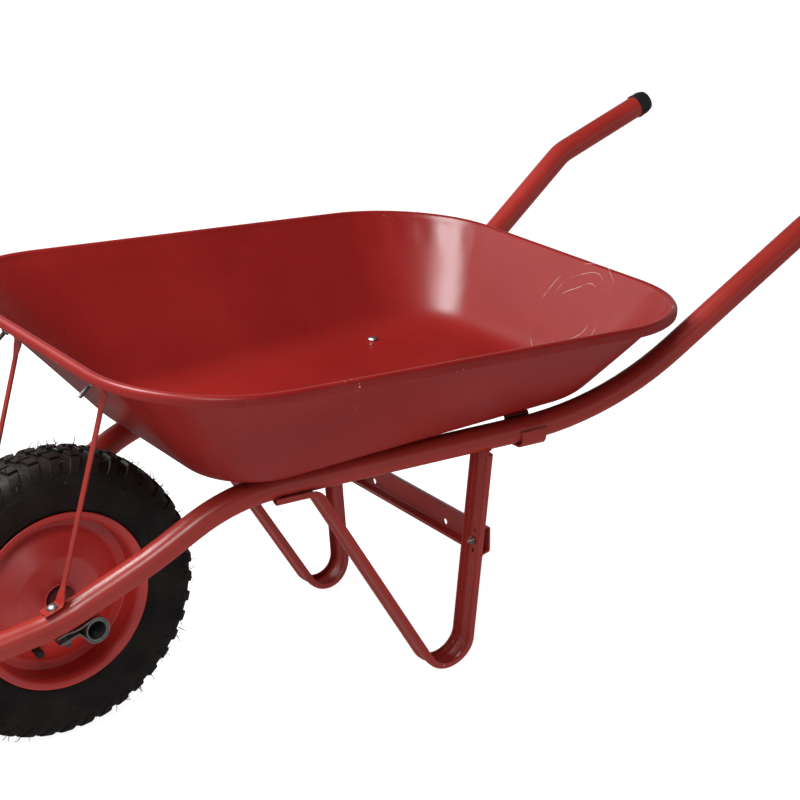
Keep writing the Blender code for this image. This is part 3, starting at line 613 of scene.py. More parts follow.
# for each corner: depth, how many to a quarter turn, how far down the wall they reach, where they start
FLUTES = [(0.0007, 5.0, 0.40, 0.2), (0.0008, 6.0, 0.45, 1.1),
          (0.0009, 6.0, 0.50, 2.0), (0.0015, 5.0, 0.66, 0.6)]
span = ARC_STEPS + SIDE_STEPS
moves = []
for row_index, row in enumerate(rows):
    down = (row_index - first_wall_ring) / WALL_RINGS
    for i, vertex in enumerate(row):
        corner = (i + SIDE_STEPS // 2) // span % 4
        turn = ((i + SIDE_STEPS // 2) % span - SIDE_STEPS // 2) / ARC_STEPS
        vertex[wear_layer] = 0.9 * smooth_step(0.0, -0.12, down)
        if down >= 0.0 and corner in (0, 1):
            vertex[wear_layer] = 0.62 * smooth_step(0.22, 0.02, down)
        if 0.0 < down < 1.2:
            deepest, count, reach, phase = FLUTES[corner]
            share = smooth_step(-0.02, 0.22, turn) * smooth_step(1.02, 0.78, turn)
            depth = deepest * smooth_step(0.0, 0.08, down) * smooth_step(reach, reach * 0.35, down)
            ripple = 0.5 + 0.5 * math.cos(2 * math.pi * count * turn + phase + 0.5 * math.sin(7 * turn))
            lazy = math.sin(9 * turn + 2 * corner + 3 * down) * math.sin(math.pi * min(1.0, down))
            moves.append((vertex, vertex.normal * (share * depth * ripple ** 3 + 0.0004 * lazy)))
for vertex, move in moves:
    vertex.co += move
tray = finish("tray_shell", tray_mesh, TRAY_RED, "body", ["tray"], recalc=False)
thickness = tray.modifiers.new("sheet", 'SOLIDIFY')
thickness.thickness = SHEET
thickness.offset = -1.0
thickness.use_even_offset = True
thickness.use_rim = True

# %% [markdown]
# ## The legs
#
# Each leg is one long channel strip: a foot welded under the rail, a strut that runs down and back, a round
# loop on the ground and a post up to the rail again. A flat rib is pressed along the middle of the web to
# stiffen it. The section is drawn once as a folded sheet, with a small radius at each fold, and is carried
# along the bent path. The strut has to move sideways from under the rail to the ground track, so the path's
# Y follows its height. Holes are cut with exact Booleans, and the results are kept as plain meshes.

# %% Leg shape
STRAP = 0.002
LEG_WIDTH = 0.036
LEG_FLANGE = 0.0075
LEG_FOOT_X = 0.221
LEG_KNEE_X = 0.266
LEG_REAR_X = 0.5035
LEG_GROUND_Y = 0.1399
LEG_LEAN = 0.125
LEG_STRUT_RISE = 1.636
LEG_LOOP_R = 0.036
LEG_BOLT_Z = 0.1725
LEG_HOLE_STEP = 0.0145
TILT_ROOM = 1.012
RIB_HALF = 0.0065
RIB_RISE = 0.0016
half = (LEG_WIDTH - STRAP) / 2
LEG_SECTION = sheet_section([(-half, LEG_FLANGE, 0.0), (-half, 0.0, 0.0022), (-RIB_HALF - 0.002, 0.0, 0.0015),
                             (-RIB_HALF, RIB_RISE, 0.0015), (RIB_HALF, RIB_RISE, 0.0015),
                             (RIB_HALF + 0.002, 0.0, 0.0015), (half, 0.0, 0.0022), (half, LEG_FLANGE, 0.0)],
                            STRAP, math.radians(24))


def post_y(z):
    """The right leg's rear post leans in towards the ground; this is its middle at height z."""
    return LEG_GROUND_Y + LEG_LEAN * z


def leg_strip(side):
    under_rail = TUBE_R * TILT_ROOM + GAP + STRAP / 2
    foot_z = rail_at(LEG_FOOT_X)[0].z - under_rail
    knee = rail_at(LEG_KNEE_X)[0] - Vector((0, 0, under_rail))
    top_z = rail_at(LEG_REAR_X - LEG_FLANGE)[0].z - TUBE_R * TILT_ROOM - GAP
    loop_z = STRAP / 2 + LEG_LOOP_R + 0.0001
    turn = math.pi / 2 + math.atan(LEG_STRUT_RISE)
    corner_z = loop_z - LEG_LOOP_R * math.tan(turn / 2)
    knee_x = LEG_REAR_X - (knee.z - corner_z) / LEG_STRUT_RISE
    flat_path = rounded_path([(LEG_FOOT_X, 0, foot_z, 0.0), (knee_x, 0, knee.z, 0.016),
                              (LEG_REAR_X, 0, corner_z, LEG_LOOP_R), (LEG_REAR_X, 0, top_z, 0.0)])
    points = []
    sides = []
    for x, _, z in flat_path:
        if x < LEG_KNEE_X:
            rail, along = rail_at(x)
            y = rail.y
            across = Vector((-along.y, along.x, 0))
        elif x < LEG_REAR_X - LEG_LOOP_R:
            y = LEG_GROUND_Y + (knee.y - LEG_GROUND_Y) * z / knee.z
            across = ACROSS
        else:
            y = post_y(z)
            across = Vector((0, 1, -LEG_LEAN * min(1.0, z / loop_z)))
        points.append(mirrored(Vector((x, y, z)), side))
        sides.append(mirrored(across, side).normalized() * -side)
    return strip(points, sides, LEG_SECTION)


def cut_holes(bm, holes):
    """Take round holes (start, end, radius) out of a shape and return it as a plain mesh."""
    bmesh.ops.recalc_face_normals(bm, faces=bm.faces)
    mesh = bpy.data.meshes.new("blank")
    bm.to_mesh(mesh)
    bm.free()
    body = bpy.data.objects.new("blank", mesh)
    bpy.context.scene.collection.objects.link(body)
    cutters = []
    for start, end, radius in holes:
        depth = (end - start).length
        drill = turned([(0, 0), (radius, 0), (radius, depth), (0, depth)], 32, start, end - start)
        bmesh.ops.recalc_face_normals(drill, faces=drill.faces)
        drill_mesh = bpy.data.meshes.new("drill")
        drill.to_mesh(drill_mesh)
        drill.free()
        cutter = bpy.data.objects.new("drill", drill_mesh)
        bpy.context.scene.collection.objects.link(cutter)
        hole = body.modifiers.new("hole", 'BOOLEAN')
        hole.operation = 'DIFFERENCE'
        hole.solver = 'EXACT'
        hole.object = cutter
        cutters.append(cutter)
    graph = bpy.context.evaluated_depsgraph_get()
    result = bpy.data.meshes.new_from_object(body.evaluated_get(graph), depsgraph=graph)
    for used in cutters + [body]:
        bpy.data.objects.remove(used, do_unlink=True)
    return result


def set_wear(mesh, amount_at):
    layer = mesh.attributes.new("wear", 'FLOAT', 'POINT')
    for item, vertex in zip(layer.data, mesh.vertices):
        item.value = amount_at(vertex.co)


for word, side in (("left", -1), ("right", 1)):
    holes = []
    for step in (-LEG_HOLE_STEP, 0.0, LEG_HOLE_STEP):
        z = LEG_BOLT_Z + step
        middle = Vector((LEG_REAR_X, side * post_y(z), z))
        reach = Vector((0.006, 0, 0))
        holes.append((middle - reach, middle + reach, 0.0032 if step else 0.0034))
    leg_mesh = cut_holes(leg_strip(side), holes)
    set_wear(leg_mesh, lambda place: 0.15 + 0.8 * smooth_step(0.07, 0.0, place.z))
    finish(word + "_strap_leg", leg_mesh, FRAME_RED, "body", [word + "_leg"])

# %% [markdown]
# ## Cross brace and crossbar
#
# The brace ties the two rear posts together. It is folded to a hat: two lips lie on the posts, and the web
# between them stands back, with two spare holes. The crossbar is a plain strap that cups both rails from
# below, with short tabs up their outer sides. Both are sheet bent across a path, like the legs.

# %% Cross brace
BRACE_BOTTOM_Z = 0.153
BRACE_TOP_Z = 0.195
BRACE_DEPTH = 0.013
BRACE_HOLE_Y = 0.081
BRACE_HOLE_Z = 0.1645
brace_face = LEG_REAR_X + STRAP / 2 + GAP
lip_v = STRAP / 2
web_v = BRACE_DEPTH - STRAP / 2
hat = sheet_section([(lip_v, BRACE_BOTTOM_Z, 0.0), (lip_v, BRACE_BOTTOM_Z + 0.0025, 0.0016),
                     (web_v, BRACE_BOTTOM_Z + 0.0050, 0.0022), (web_v, BRACE_TOP_Z - 0.0050, 0.0022),
                     (lip_v, BRACE_TOP_Z - 0.0025, 0.0016), (lip_v, BRACE_TOP_Z, 0.0)], STRAP)
brace_reach = post_y(LEG_BOLT_Z) + LEG_WIDTH / 2 - 0.006
brace_bm = bmesh.new()
brace_rings = []
BRACE_STEPS = 24
for k in range(BRACE_STEPS + 1):
    y = brace_reach * (2 * k / BRACE_STEPS - 1)
    brace_rings.append([brace_bm.verts.new((brace_face + u, y, v)) for u, v in hat])
for a, b in zip(brace_rings, brace_rings[1:]):
    bridge(brace_bm, a, b)
brace_bm.faces.new(brace_rings[0])
brace_bm.faces.new(reversed(brace_rings[-1]))
drill_end = brace_face + BRACE_DEPTH + 0.004
SPARE_HOLE_R = 0.0041
BRACE_BOLT_HOLE_R = 0.0033
brace_holes = [(Vector((brace_face, y, BRACE_HOLE_Z)), Vector((drill_end, y, BRACE_HOLE_Z)), SPARE_HOLE_R)
               for y in (-BRACE_HOLE_Y, BRACE_HOLE_Y)]
brace_holes += [(Vector((brace_face - 0.001, y, LEG_BOLT_Z)), Vector((drill_end, y, LEG_BOLT_Z)),
                 BRACE_BOLT_HOLE_R) for y in (-post_y(LEG_BOLT_Z), post_y(LEG_BOLT_Z))]
brace_mesh = cut_holes(brace_bm, brace_holes)
set_wear(brace_mesh, lambda place: 0.35)
finish("hat_brace", brace_mesh, FRAME_RED, "body", ["leg_cross_brace"])

# %% Crossbar
CROSSBAR_X = 0.558
CROSSBAR_WIDTH = 0.034
CROSSBAR_SHEET = 0.003
TRAY_BOLT_X = 0.5655
TRAY_BOLT_Y = 0.156
rail, along = rail_at(CROSSBAR_X)
along = Vector((along.x, along.y, FLOOR_SLOPE * along.x)).normalized()
off = (TUBE_R + GAP) / along.x + CROSSBAR_SHEET / 2
bar_top = floor_z(CROSSBAR_X) - GAP - CROSSBAR_SHEET / 2
half_bar = [(rail.y + off, rail.z + 0.002, 0.0), (rail.y + off, rail.z - off, 0.010),
            (rail.y - off, rail.z - off, 0.010), (rail.y - off, bar_top, 0.004)]
bar_corners = [(CROSSBAR_X, -y, z, r) for y, z, r in half_bar]
bar_corners += [(CROSSBAR_X, y, z, r) for y, z, r in reversed(half_bar)]
bar_points = rounded_path(bar_corners, 0.02, math.radians(8))
bar_sides = [mirrored(along, math.copysign(1, point.y)) for point in bar_points]
edge = CROSSBAR_SHEET / 2
w = CROSSBAR_WIDTH / 2
soft_bar = [(-w, -edge + 0.0007), (-w + 0.0007, -edge), (w - 0.0007, -edge), (w, -edge + 0.0007),
            (w, edge - 0.0007), (w - 0.0007, edge), (-w + 0.0007, edge), (-w, edge - 0.0007)]
TRAY_BOLT_HOLE_R = 0.0039
bar_mesh = cut_holes(strip(bar_points, bar_sides, soft_bar),
                     [(Vector((TRAY_BOLT_X, y, bar_top - 0.005)), Vector((TRAY_BOLT_X, y, bar_top + 0.006)),
                       TRAY_BOLT_HOLE_R) for y in (-TRAY_BOLT_Y, TRAY_BOLT_Y)])
set_wear(bar_mesh, lambda place: 0.5)
finish("cupped_crossbar", bar_mesh, FRAME_RED, "body", ["rear_crossbar"])

# %% [markdown]
# ## Front stays
#
# Two thin stays hold the tray's front up. Each one is a strip pressed to a shallow V for stiffness, which
# fades out to a flat tab at both ends, where the bolts go. The section therefore changes along the path:
# a function gives the V's depth at each ring.

# %% Stays
CLAMP_X = -0.042
STAY_WIDTH = 0.018
STAY_GROOVE_WIDTH = 0.008
STAY_GROOVE_DEPTH = 0.003
STAY_LIFT = 0.0016


def front_wall(down, out):
    """A place on the middle of the tray's front wall: down from its top, and out from its inner skin."""
    high = Vector((RIM["front"] + WALL_IN, 0, RIM_FRONT_Z - 0.004))
    low = Vector((FLOOR["front"], 0, floor_z(FLOOR["front"]) + SHEET))
    line = (low - high).normalized()
    normal = Vector((line.z, 0, -line.x))
    return high + line * down + normal * out, normal


def stay_section(width, depth):
    half_width = width / 2
    web = STRAP / 2
    soft = 0.0005
    middle = [(-half_width, -web + soft), (-half_width + soft, -web)]
    lower = middle + [(-half_width * 0.35, -web + depth * 0.62), (0, -web + depth),
                      (half_width * 0.35, -web + depth * 0.62), (half_width - soft, -web),
                      (half_width, -web + soft)]
    upper = [(half_width, web - soft), (half_width - soft, web), (half_width * 0.35, web + depth * 0.62),
             (0, web + depth), (-half_width * 0.35, web + depth * 0.62), (-half_width + soft, web),
             (-half_width, web - soft)]
    return lower + upper


def stay_strip(side):
    rail, along = rail_at(CLAMP_X)
    flat_along = Vector((along.x, 0, along.z)).normalized()
    rail_up = Vector((-flat_along.z, 0, flat_along.x))
    foot = rail + rail_up * (TUBE_R + GAP + STRAP / 2 + STAY_LIFT)
    out = SHEET + 0.0010 + STRAP / 2
    meet = front_wall(0.056, out)[0]
    end = front_wall(0.026, out)[0]
    meet.y = end.y = rail.y
    knee = foot + flat_along * 0.009
    corners = [(*(foot - flat_along * 0.013), 0.0), (*knee, 0.004), (*meet, 0.008), (*end, 0.0)]
    points = rounded_path(corners, 0.004, math.radians(8))
    rise = (meet - knee).normalized()
    full = (meet - knee).length

    def section(k):
        gone = (points[k] - knee).dot(rise)
        deep = smooth_step(0.005, 0.024, gone) * smooth_step(full - 0.005, full - 0.024, gone)
        return stay_section(STAY_WIDTH + (STAY_GROOVE_WIDTH - STAY_WIDTH) * deep, STAY_GROOVE_DEPTH * deep)

    moved = [mirrored(point, side) for point in points]
    return strip(moved, [ACROSS] * len(moved), section)


def clamp_stack(side):
    """The top of the stay's foot over the clamp bolt, and the bolt's direction down."""
    rail, along = rail_at(CLAMP_X)
    rail_up = Vector((-along.z, 0, along.x)).normalized()
    return mirrored(rail + rail_up * (TUBE_R + 2 * GAP + STRAP + STAY_LIFT), side), -rail_up


for word, side in (("left", -1), ("right", 1)):
    inside, wall_normal = front_wall(0.036, -GAP)
    inside.y = side * rail_at(CLAMP_X)[0].y
    clamp_top, clamp_down = clamp_stack(side)
    upper_hole = (inside, inside + wall_normal * 0.012, 0.0030)
    foot_hole = (clamp_top - clamp_down * 0.003, clamp_top + clamp_down * 0.006, 0.0037)
    stay_mesh = cut_holes(stay_strip(side), [upper_hole, foot_hole])
    set_wear(stay_mesh, lambda place: 0.3)
    finish(word + "_stay", stay_mesh, FRAME_RED, "body", [word + "_front_stay"])

# %% [markdown]
# ## The axle and its straps
#
# The axle is a hollow pipe that doesn't turn. A zinc-plated band is wrapped round each of its ends, and the
# band's two tails lie together under the rail, where one bolt clamps them. The upper tail is cupped like a
# saddle so that the round rail sits in it: its section bends more and more towards the tail's end.

# %% Axle, spacers and straps
AXLE_R = 0.01345
AXLE_BORE = 0.0113
AXLE_HALF = 0.1207
AXLE_STRAP_WIDTH = 0.026
AXLE_TAIL_PITCH = 0.0055
AXLE_CENTRE = Vector((0, 0, AXLE.z))
pipe_ring = [(AXLE_R, -AXLE_HALF), (AXLE_R, AXLE_HALF), (AXLE_BORE, AXLE_HALF), (AXLE_BORE, -AXLE_HALF)]
pipe = turned(eased(pipe_ring, 0.0004, 2), 96, AXLE_CENTRE)
finish("axle_pipe", pipe, ZINC, "body", ["axle"])

BEARING_R = 0.0163
HUB_R = 0.0188
HUB_HALF = 0.0245
for word, side in (("left", -1), ("right", 1)):
    start, stop = HUB_HALF + 0.0010, AXLE_HALF - AXLE_STRAP_WIDTH - GAP
    ring = [(AXLE_R + GAP, start), (BEARING_R, start), (BEARING_R, stop), (AXLE_R + GAP, stop)]
    spacer = turned(eased([(r, y * side) for r, y in ring], 0.0005), 64, AXLE_CENTRE)
    finish(word + "_spacer", spacer, DARK_STEEL, "body", [word + "_axle_spacer"])

band_half = AXLE_STRAP_WIDTH / 2
SADDLE_DEPTH = 0.0034


def band_section(cup):
    """The band's outline; cup lifts its edges, so that a round rail can lie in it."""
    lower = []
    upper = []
    steps = 12
    for k in range(steps + 1):
        u = band_half * (2 * k / steps - 1)
        rise = -cup * SADDLE_DEPTH * (u / band_half) ** 2
        lower.append((u, rise - STRAP / 2))
        upper.append((u, rise + STRAP / 2))
    return lower + upper[::-1]


for word, side in (("left", -1), ("right", 1)):
    rail, along = rail_at(CLAMP_X)
    along = Vector((along.x, 0, along.z)).normalized()
    rail_up = Vector((-along.z, 0, along.x))
    ring_r = AXLE_R + GAP + STRAP / 2 + 0.0002
    y = AXLE_HALF - band_half
    upper_tail = Vector((rail.x, y, rail.z)) - rail_up * (TUBE_R + GAP + STRAP / 2)
    lower_tail = upper_tail - rail_up * AXLE_TAIL_PITCH
    turn_from, turn_to = math.radians(116), math.radians(-148)
    RING_STEPS = 56
    points = [upper_tail + along * (-0.011 + 0.0027 * k) for k in range(11)]
    cups = [smooth_step(10.0, 3.0, k) for k in range(11)]
    for k in range(RING_STEPS + 1):
        a = turn_from + (turn_to - turn_from) * k / RING_STEPS
        points.append(Vector((ring_r * math.cos(a), y, AXLE.z + ring_r * math.sin(a))))
    points += [lower_tail + along * (0.014 - 0.0025 * k) for k in range(11)]
    cups += [0.0] * (len(points) - len(cups))
    moved = [mirrored(point, side) for point in points]
    band = strip(moved, [ACROSS] * len(moved), lambda k: band_section(cups[k]))
    band_mesh = cut_holes(band, [(clamp_stack(side)[0] + clamp_stack(side)[1] * 0.034,
                                  clamp_stack(side)[0] + clamp_stack(side)[1] * 0.052, 0.0038)])
    finish(word + "_axle_band", band_mesh, ZINC, "body", [word + "_axle_strap"])

# %% [markdown]
# ## The wheel
#
# Two pressed discs are joined back to back. Each has a rim flange for the tyre, a bead seat, a flat ring
# where the two meet, a cone and a flat centre round the hub. All of it is turned, so each disc is one
# profile with softened corners, spun on the axle's line. It rides on the wheel's own body.

# %% Discs, hub and bearings
FLANGE_R = 0.111
DISC_SHEET = 0.0016
for word, side in (("left", -1), ("right", 1)):
    bore = HUB_R + GAP
    outer_face = [(FLANGE_R, 0.0338), (0.1092, 0.0344), (0.1066, 0.0334), (0.1030, 0.0318), (0.0990, 0.0270),
                  (0.0982, 0.0035), (0.0850, 0.0035), (0.0520, 0.0262), (0.0300, 0.0262), (bore, 0.0252)]
    inner_face = [(bore, 0.0252 - DISC_SHEET), (0.0300, 0.0262 - DISC_SHEET), (0.0515, 0.0262 - DISC_SHEET),
                  (0.0845, GAP), (0.0995, GAP), (0.1006, 0.0200), (0.1012, 0.0272), (0.1042, 0.0292),
                  (0.1088, 0.0322), (FLANGE_R, 0.0338 - DISC_SHEET)]
    profile = eased([(r, y * side) for r, y in outer_face + inner_face], 0.0028, 4)
    disc_bm = turned(profile, 144, AXLE_CENTRE)
    if side == -1:
        angle = math.radians(244)
        outward = Vector((math.cos(angle), 0, math.sin(angle)))
        tip = AXLE_CENTRE + outward * 0.069
        disc_mesh = cut_holes(disc_bm, [(tip, tip + Vector((0, -0.03, 0)), 0.0046)])
    else:
        disc_mesh = cut_holes(disc_bm, [])
    set_wear(disc_mesh, lambda place: 0.1)
    finish(word + "_pressed_disc", disc_mesh, LIT_DISC_RED, "wheel", [word + "_wheel_disc"])

    race = [(AXLE_R + GAP, 0.0105), (BEARING_R, 0.0105), (BEARING_R, HUB_HALF), (0.0158, HUB_HALF),
            (0.0156, HUB_HALF - 0.0008), (0.0146, HUB_HALF - 0.0008), (0.0144, HUB_HALF),
            (AXLE_R + GAP, HUB_HALF)]
    bearing = turned([(r, y * side) for r, y in race], 64, AXLE_CENTRE)
    finish(word + "_race", bearing, DARK_STEEL, "wheel", [word + "_bearing"])

hub_ring = [(BEARING_R + GAP, -HUB_HALF), (HUB_R, -HUB_HALF), (HUB_R, HUB_HALF), (BEARING_R + GAP, HUB_HALF)]
finish("hub_tube", turned(eased(hub_ring, 0.0006), 96, AXLE_CENTRE), LIT_DISC_RED, "wheel", ["wheel_hub"])

# %% [markdown]
# ## The tyre's casing
#
# The casing is a second turned shape. Its sides carry the low moulded rings that any tyre has, and its crown
# lies a little inside the tread, because the lugs are added on top of it. Inside is the inner tube, which
# only shows as the valve.

# %% Casing, inner tube and valve
CROWN_R = 0.1738
side_wall = [(0.1050, 0.0275), (0.1114, 0.0310), (0.1135, 0.0328), (0.1160, 0.0342), (0.1172, 0.0350),
             (0.1190, 0.0353), (0.1200, 0.0351), (0.1225, 0.0364), (0.1270, 0.0376), (0.1330, 0.0385),
             (0.1400, 0.0390), (0.1460, 0.0391), (0.1472, 0.0394), (0.1484, 0.0394), (0.1494, 0.0388),
             (0.1560, 0.0376), (0.1640, 0.0340), (0.1690, 0.0288), (0.1720, 0.0210), (CROWN_R, 0.0100),
             (CROWN_R, 0.0)]
bore_wall = [(0.1700, 0.0), (0.1690, 0.0080), (0.1630, 0.0230), (0.1500, 0.0335), (0.1300, 0.0335),
             (0.1150, 0.0290), (0.1050, 0.0180)]
tyre_profile = side_wall + [(r, -y) for r, y in reversed(side_wall[:-1])]
tyre_profile += [(r, -y) for r, y in reversed(bore_wall)] + [(r, y) for r, y in bore_wall[1:]]
finish("tyre_casing", turned(tyre_profile, 180, AXLE_CENTRE), TYRE_BLACK, "wheel", ["tyre"])

TUBE_STEPS = 28
tube_angles = [2 * math.pi * k / TUBE_STEPS for k in range(TUBE_STEPS)]
tube_ring = [(0.1370 + 0.0255 * math.cos(a), 0.0275 * math.sin(a)) for a in tube_angles]
finish("air_tube", turned(tube_ring, 96, AXLE_CENTRE), TYRE_BLACK, "wheel", ["inner_tube"])

VALVE_OUT = Vector((math.cos(math.radians(244)), 0, math.sin(math.radians(244))))
valve_path = rounded_path([(*(AXLE_CENTRE + VALVE_OUT * 0.1080), 0.0),
                           (*(AXLE_CENTRE + VALVE_OUT * 0.069), 0.010),
                           (*(AXLE_CENTRE + VALVE_OUT * 0.069 - ACROSS * 0.0240), 0.0)], 0.004)
valve_bm = bmesh.new()
valve_rings = []
flat_side = VALVE_OUT.cross(ACROSS).normalized()
for point, tangent in zip(valve_path, directions(valve_path)):
    lift = tangent.cross(flat_side)
    turns = [2 * math.pi * i / 24 for i in range(24)]
    valve_rings.append([valve_bm.verts.new(point + 0.0034 * (flat_side * math.cos(a) + lift * math.sin(a)))
                        for a in turns])
for a, b in zip(valve_rings, valve_rings[1:]):
    bridge(valve_bm, a, b)
valve_bm.faces.new(valve_rings[0])
valve_bm.faces.new(reversed(valve_rings[-1]))
finish("valve_neck", valve_bm, TYRE_BLACK, "wheel", ["valve_stem"])
cap_shape = [(0, -0.0245), (0.0037, -0.0245), (0.0037, -0.0190), (0.0050, -0.0190), (0.0050, -0.0285),
             (0.0035, -0.0300), (0, -0.0300)]
valve_tip = AXLE_CENTRE + VALVE_OUT * 0.069
finish("valve_screw_cap", turned(eased(cap_shape, 0.0008), 32, valve_tip), CAP_BLACK, "wheel", ["valve_cap"])

# %% [markdown]
# ## Tread lugs
#
# A barrow tyre has chunky lugs that lean across its shoulders, with a row of blocks on the crown. One pitch
# of the pattern repeats all the way round, so Geometry Nodes do it: the pitch is built once as a small mesh,
# and a tree sets copies of it round the axle. Number of pitches and the turn of each are named inputs.

# %% One pitch of tread
PITCHES = 42
PITCH_TURN = 2 * math.pi / PITCHES
TREAD_R = 0.1778
SHOULDER = [(0.0, TREAD_R), (0.0120, TREAD_R - 0.0002), (0.0220, 0.1760), (0.0300, 0.1722), (0.0345, 0.1668),
            (0.0372, 0.1610), (0.0384, 0.1550)]


def tread_place(turn, across, sink):
    """A place on the tread's outer surface, across it from the middle, sunk towards the casing."""
    sign = math.copysign(1, across)
    reach = min(abs(across), 0.0595)
    walked = 0.0
    for (y0, r0), (y1, r1) in zip(SHOULDER, SHOULDER[1:]):
        length = math.hypot(y1 - y0, r1 - r0)
        if reach <= walked + length or (y1, r1) == SHOULDER[-1]:
            t = min(1.0, (reach - walked) / length)
            y, r = y0 + (y1 - y0) * t, r0 + (r1 - r0) * t
            out_y, out_r = (r0 - r1) / length, (y1 - y0) / length
            y, r = y - out_y * sink, r - out_r * sink
            angle = turn * PITCH_TURN
            return Vector((r * math.cos(angle), sign * y, r * math.sin(angle)))
        walked += length


def add_block(bm, corners, height, taper=0.12):
    """A lug between four (turn, across) corners, with sloping sides down into the casing."""
    nu, nv = 3, 5
    a, b, c, d = corners
    middle = tuple(sum(corner[i] for corner in corners) / 4 for i in (0, 1))
    grids = []
    for shrink, sink in ((1.0 - taper, 0.0), (1.0 - taper * 0.35, 0.0008), (1.0, height + 0.0012)):
        rows = []
        for i in range(nu + 1):
            s = i / nu
            row = []
            for j in range(nv + 1):
                t = j / nv
                at = [(1 - s) * ((1 - t) * a[k] + t * d[k]) + s * ((1 - t) * b[k] + t * c[k]) for k in (0, 1)]
                at = [middle[k] + (at[k] - middle[k]) * shrink for k in (0, 1)]
                row.append(tread_place(at[0], at[1], sink))
            rows.append(row)
        grids.append(rows)
    top = [[bm.verts.new(place) for place in row] for row in grids[0]]
    for i in range(nu):
        for j in range(nv):
            bm.faces.new((top[i][j], top[i + 1][j], top[i + 1][j + 1], top[i][j + 1]))
    edge_ids = [(i, 0) for i in range(nu)] + [(nu, j) for j in range(nv)]
    edge_ids += [(i, nv) for i in range(nu, 0, -1)] + [(0, j) for j in range(nv, 0, -1)]
    upper = [top[i][j] for i, j in edge_ids]
    for rows in grids[1:]:
        lower = [bm.verts.new(rows[i][j]) for i, j in edge_ids]
        bridge(bm, upper, lower)
        upper = lower
    bm.faces.new(upper)


pitch_bm = bmesh.new()
LUG_HEIGHT = 0.0042
for sign in (-1, 1):
    shift = 0.5 if sign > 0 else 0.0
    add_block(pitch_bm, [(shift + 0.02, sign * 0.0235), (shift + 0.55, sign * 0.0235),
                         (shift + 0.82, sign * 0.0480), (shift + 0.34, sign * 0.0480)], LUG_HEIGHT)
    add_block(pitch_bm, [(shift + 0.10, sign * 0.0075), (shift + 0.62, sign * 0.0075),
                         (shift + 0.46, sign * 0.0205), (shift - 0.04, sign * 0.0205)], LUG_HEIGHT)
add_block(pitch_bm, [(0.08, -0.0048), (0.78, -0.0048), (0.92, 0.0048), (0.22, 0.0048)], LUG_HEIGHT)
bmesh.ops.recalc_face_normals(pitch_bm, faces=pitch_bm.faces)
pitch_mesh = bpy.data.meshes.new("tread_pitch")
pitch_bm.to_mesh(pitch_mesh)
pitch_bm.free()
pitch_object = bpy.data.objects.new("tread_pitch", pitch_mesh)
bpy.context.scene.collection.objects.link(pitch_object)

# %% Set the pitches round the axle
tread_tree, size_in, end = new_tree("tread_round_axle", {"Pitches": PITCHES, "Turn": PITCH_TURN})
spots = add_node(tread_tree, 'GeometryNodePoints', {"Count": size_in["Pitches"]}).outputs[0]
index = add_node(tread_tree, 'GeometryNodeInputIndex').outputs[0]
turn = add_node(tread_tree, 'ShaderNodeMath', {0: index, 1: size_in["Turn"]}, operation='MULTIPLY').outputs[0]
euler = add_node(tread_tree, 'ShaderNodeCombineXYZ', {"Y": turn}).outputs[0]
one_pitch = add_node(tread_tree, 'GeometryNodeObjectInfo', {"Object": pitch_object}).outputs["Geometry"]
copies = add_node(tread_tree, 'GeometryNodeInstanceOnPoints', {"Points": spots, "Instance": one_pitch,
                                                               "Rotation": euler}).outputs[0]
close_tree(tread_tree, copies, end, TYRE_BLACK)
tread_mesh = grow(point_mesh("tread_seed", [(0, 0, 0)]), tread_tree, {"Pitches": PITCHES, "Turn": PITCH_TURN})
bpy.data.objects.remove(pitch_object, do_unlink=True)
tread_mesh.transform(Matrix.Translation((0, 0, AXLE.z)))
finish("tread_lugs", tread_mesh, TYRE_BLACK, "wheel", [])

# %% [markdown]
# ## Rubber hairs
#
# A new tyre keeps the thin hairs that rubber leaves in the mould's vents. They stand all over the shoulders,
# each bent its own way. The tree below spreads points on a thin band over each shoulder with a fixed seed,
# and grows one tapering hair at every point along the surface's normal.

# %% Hairs
hair_band = bmesh.new()
BAND_SIDES = 120
for sign in (-1, 1):
    rings = []
    for r, y in ((0.1725, 0.0292), (0.1662, 0.0342), (0.1590, 0.0368), (0.1500, 0.0384)):
        turns = [2 * math.pi * i / BAND_SIDES for i in range(BAND_SIDES)]
        rings.append([hair_band.verts.new((r * math.cos(a), sign * y, r * math.sin(a))) for a in turns])
    for a, b in zip(rings, rings[1:]):
        bridge(hair_band, a, b)
crown_rings = []
for y in (-0.020, 0.0, 0.020):
    crown_rings.append([hair_band.verts.new((0.1772 * math.cos(2 * math.pi * i / BAND_SIDES), y,
                                             0.1772 * math.sin(2 * math.pi * i / BAND_SIDES)))
                        for i in range(BAND_SIDES)])
for a, b in zip(crown_rings, crown_rings[1:]):
    bridge(hair_band, a, b)
for face in hair_band.faces:
    face.normal_update()
    if face.normal.dot(face.calc_center_median()) < 0:
        face.normal_flip()
GROUND_CLEARANCE = -0.160
low_faces = [face for face in hair_band.faces if face.calc_center_median().z < GROUND_CLEARANCE]
bmesh.ops.delete(hair_band, geom=low_faces, context='FACES')
band_mesh = bpy.data.meshes.new("hair_band")
hair_band.to_mesh(band_mesh)
hair_band.free()

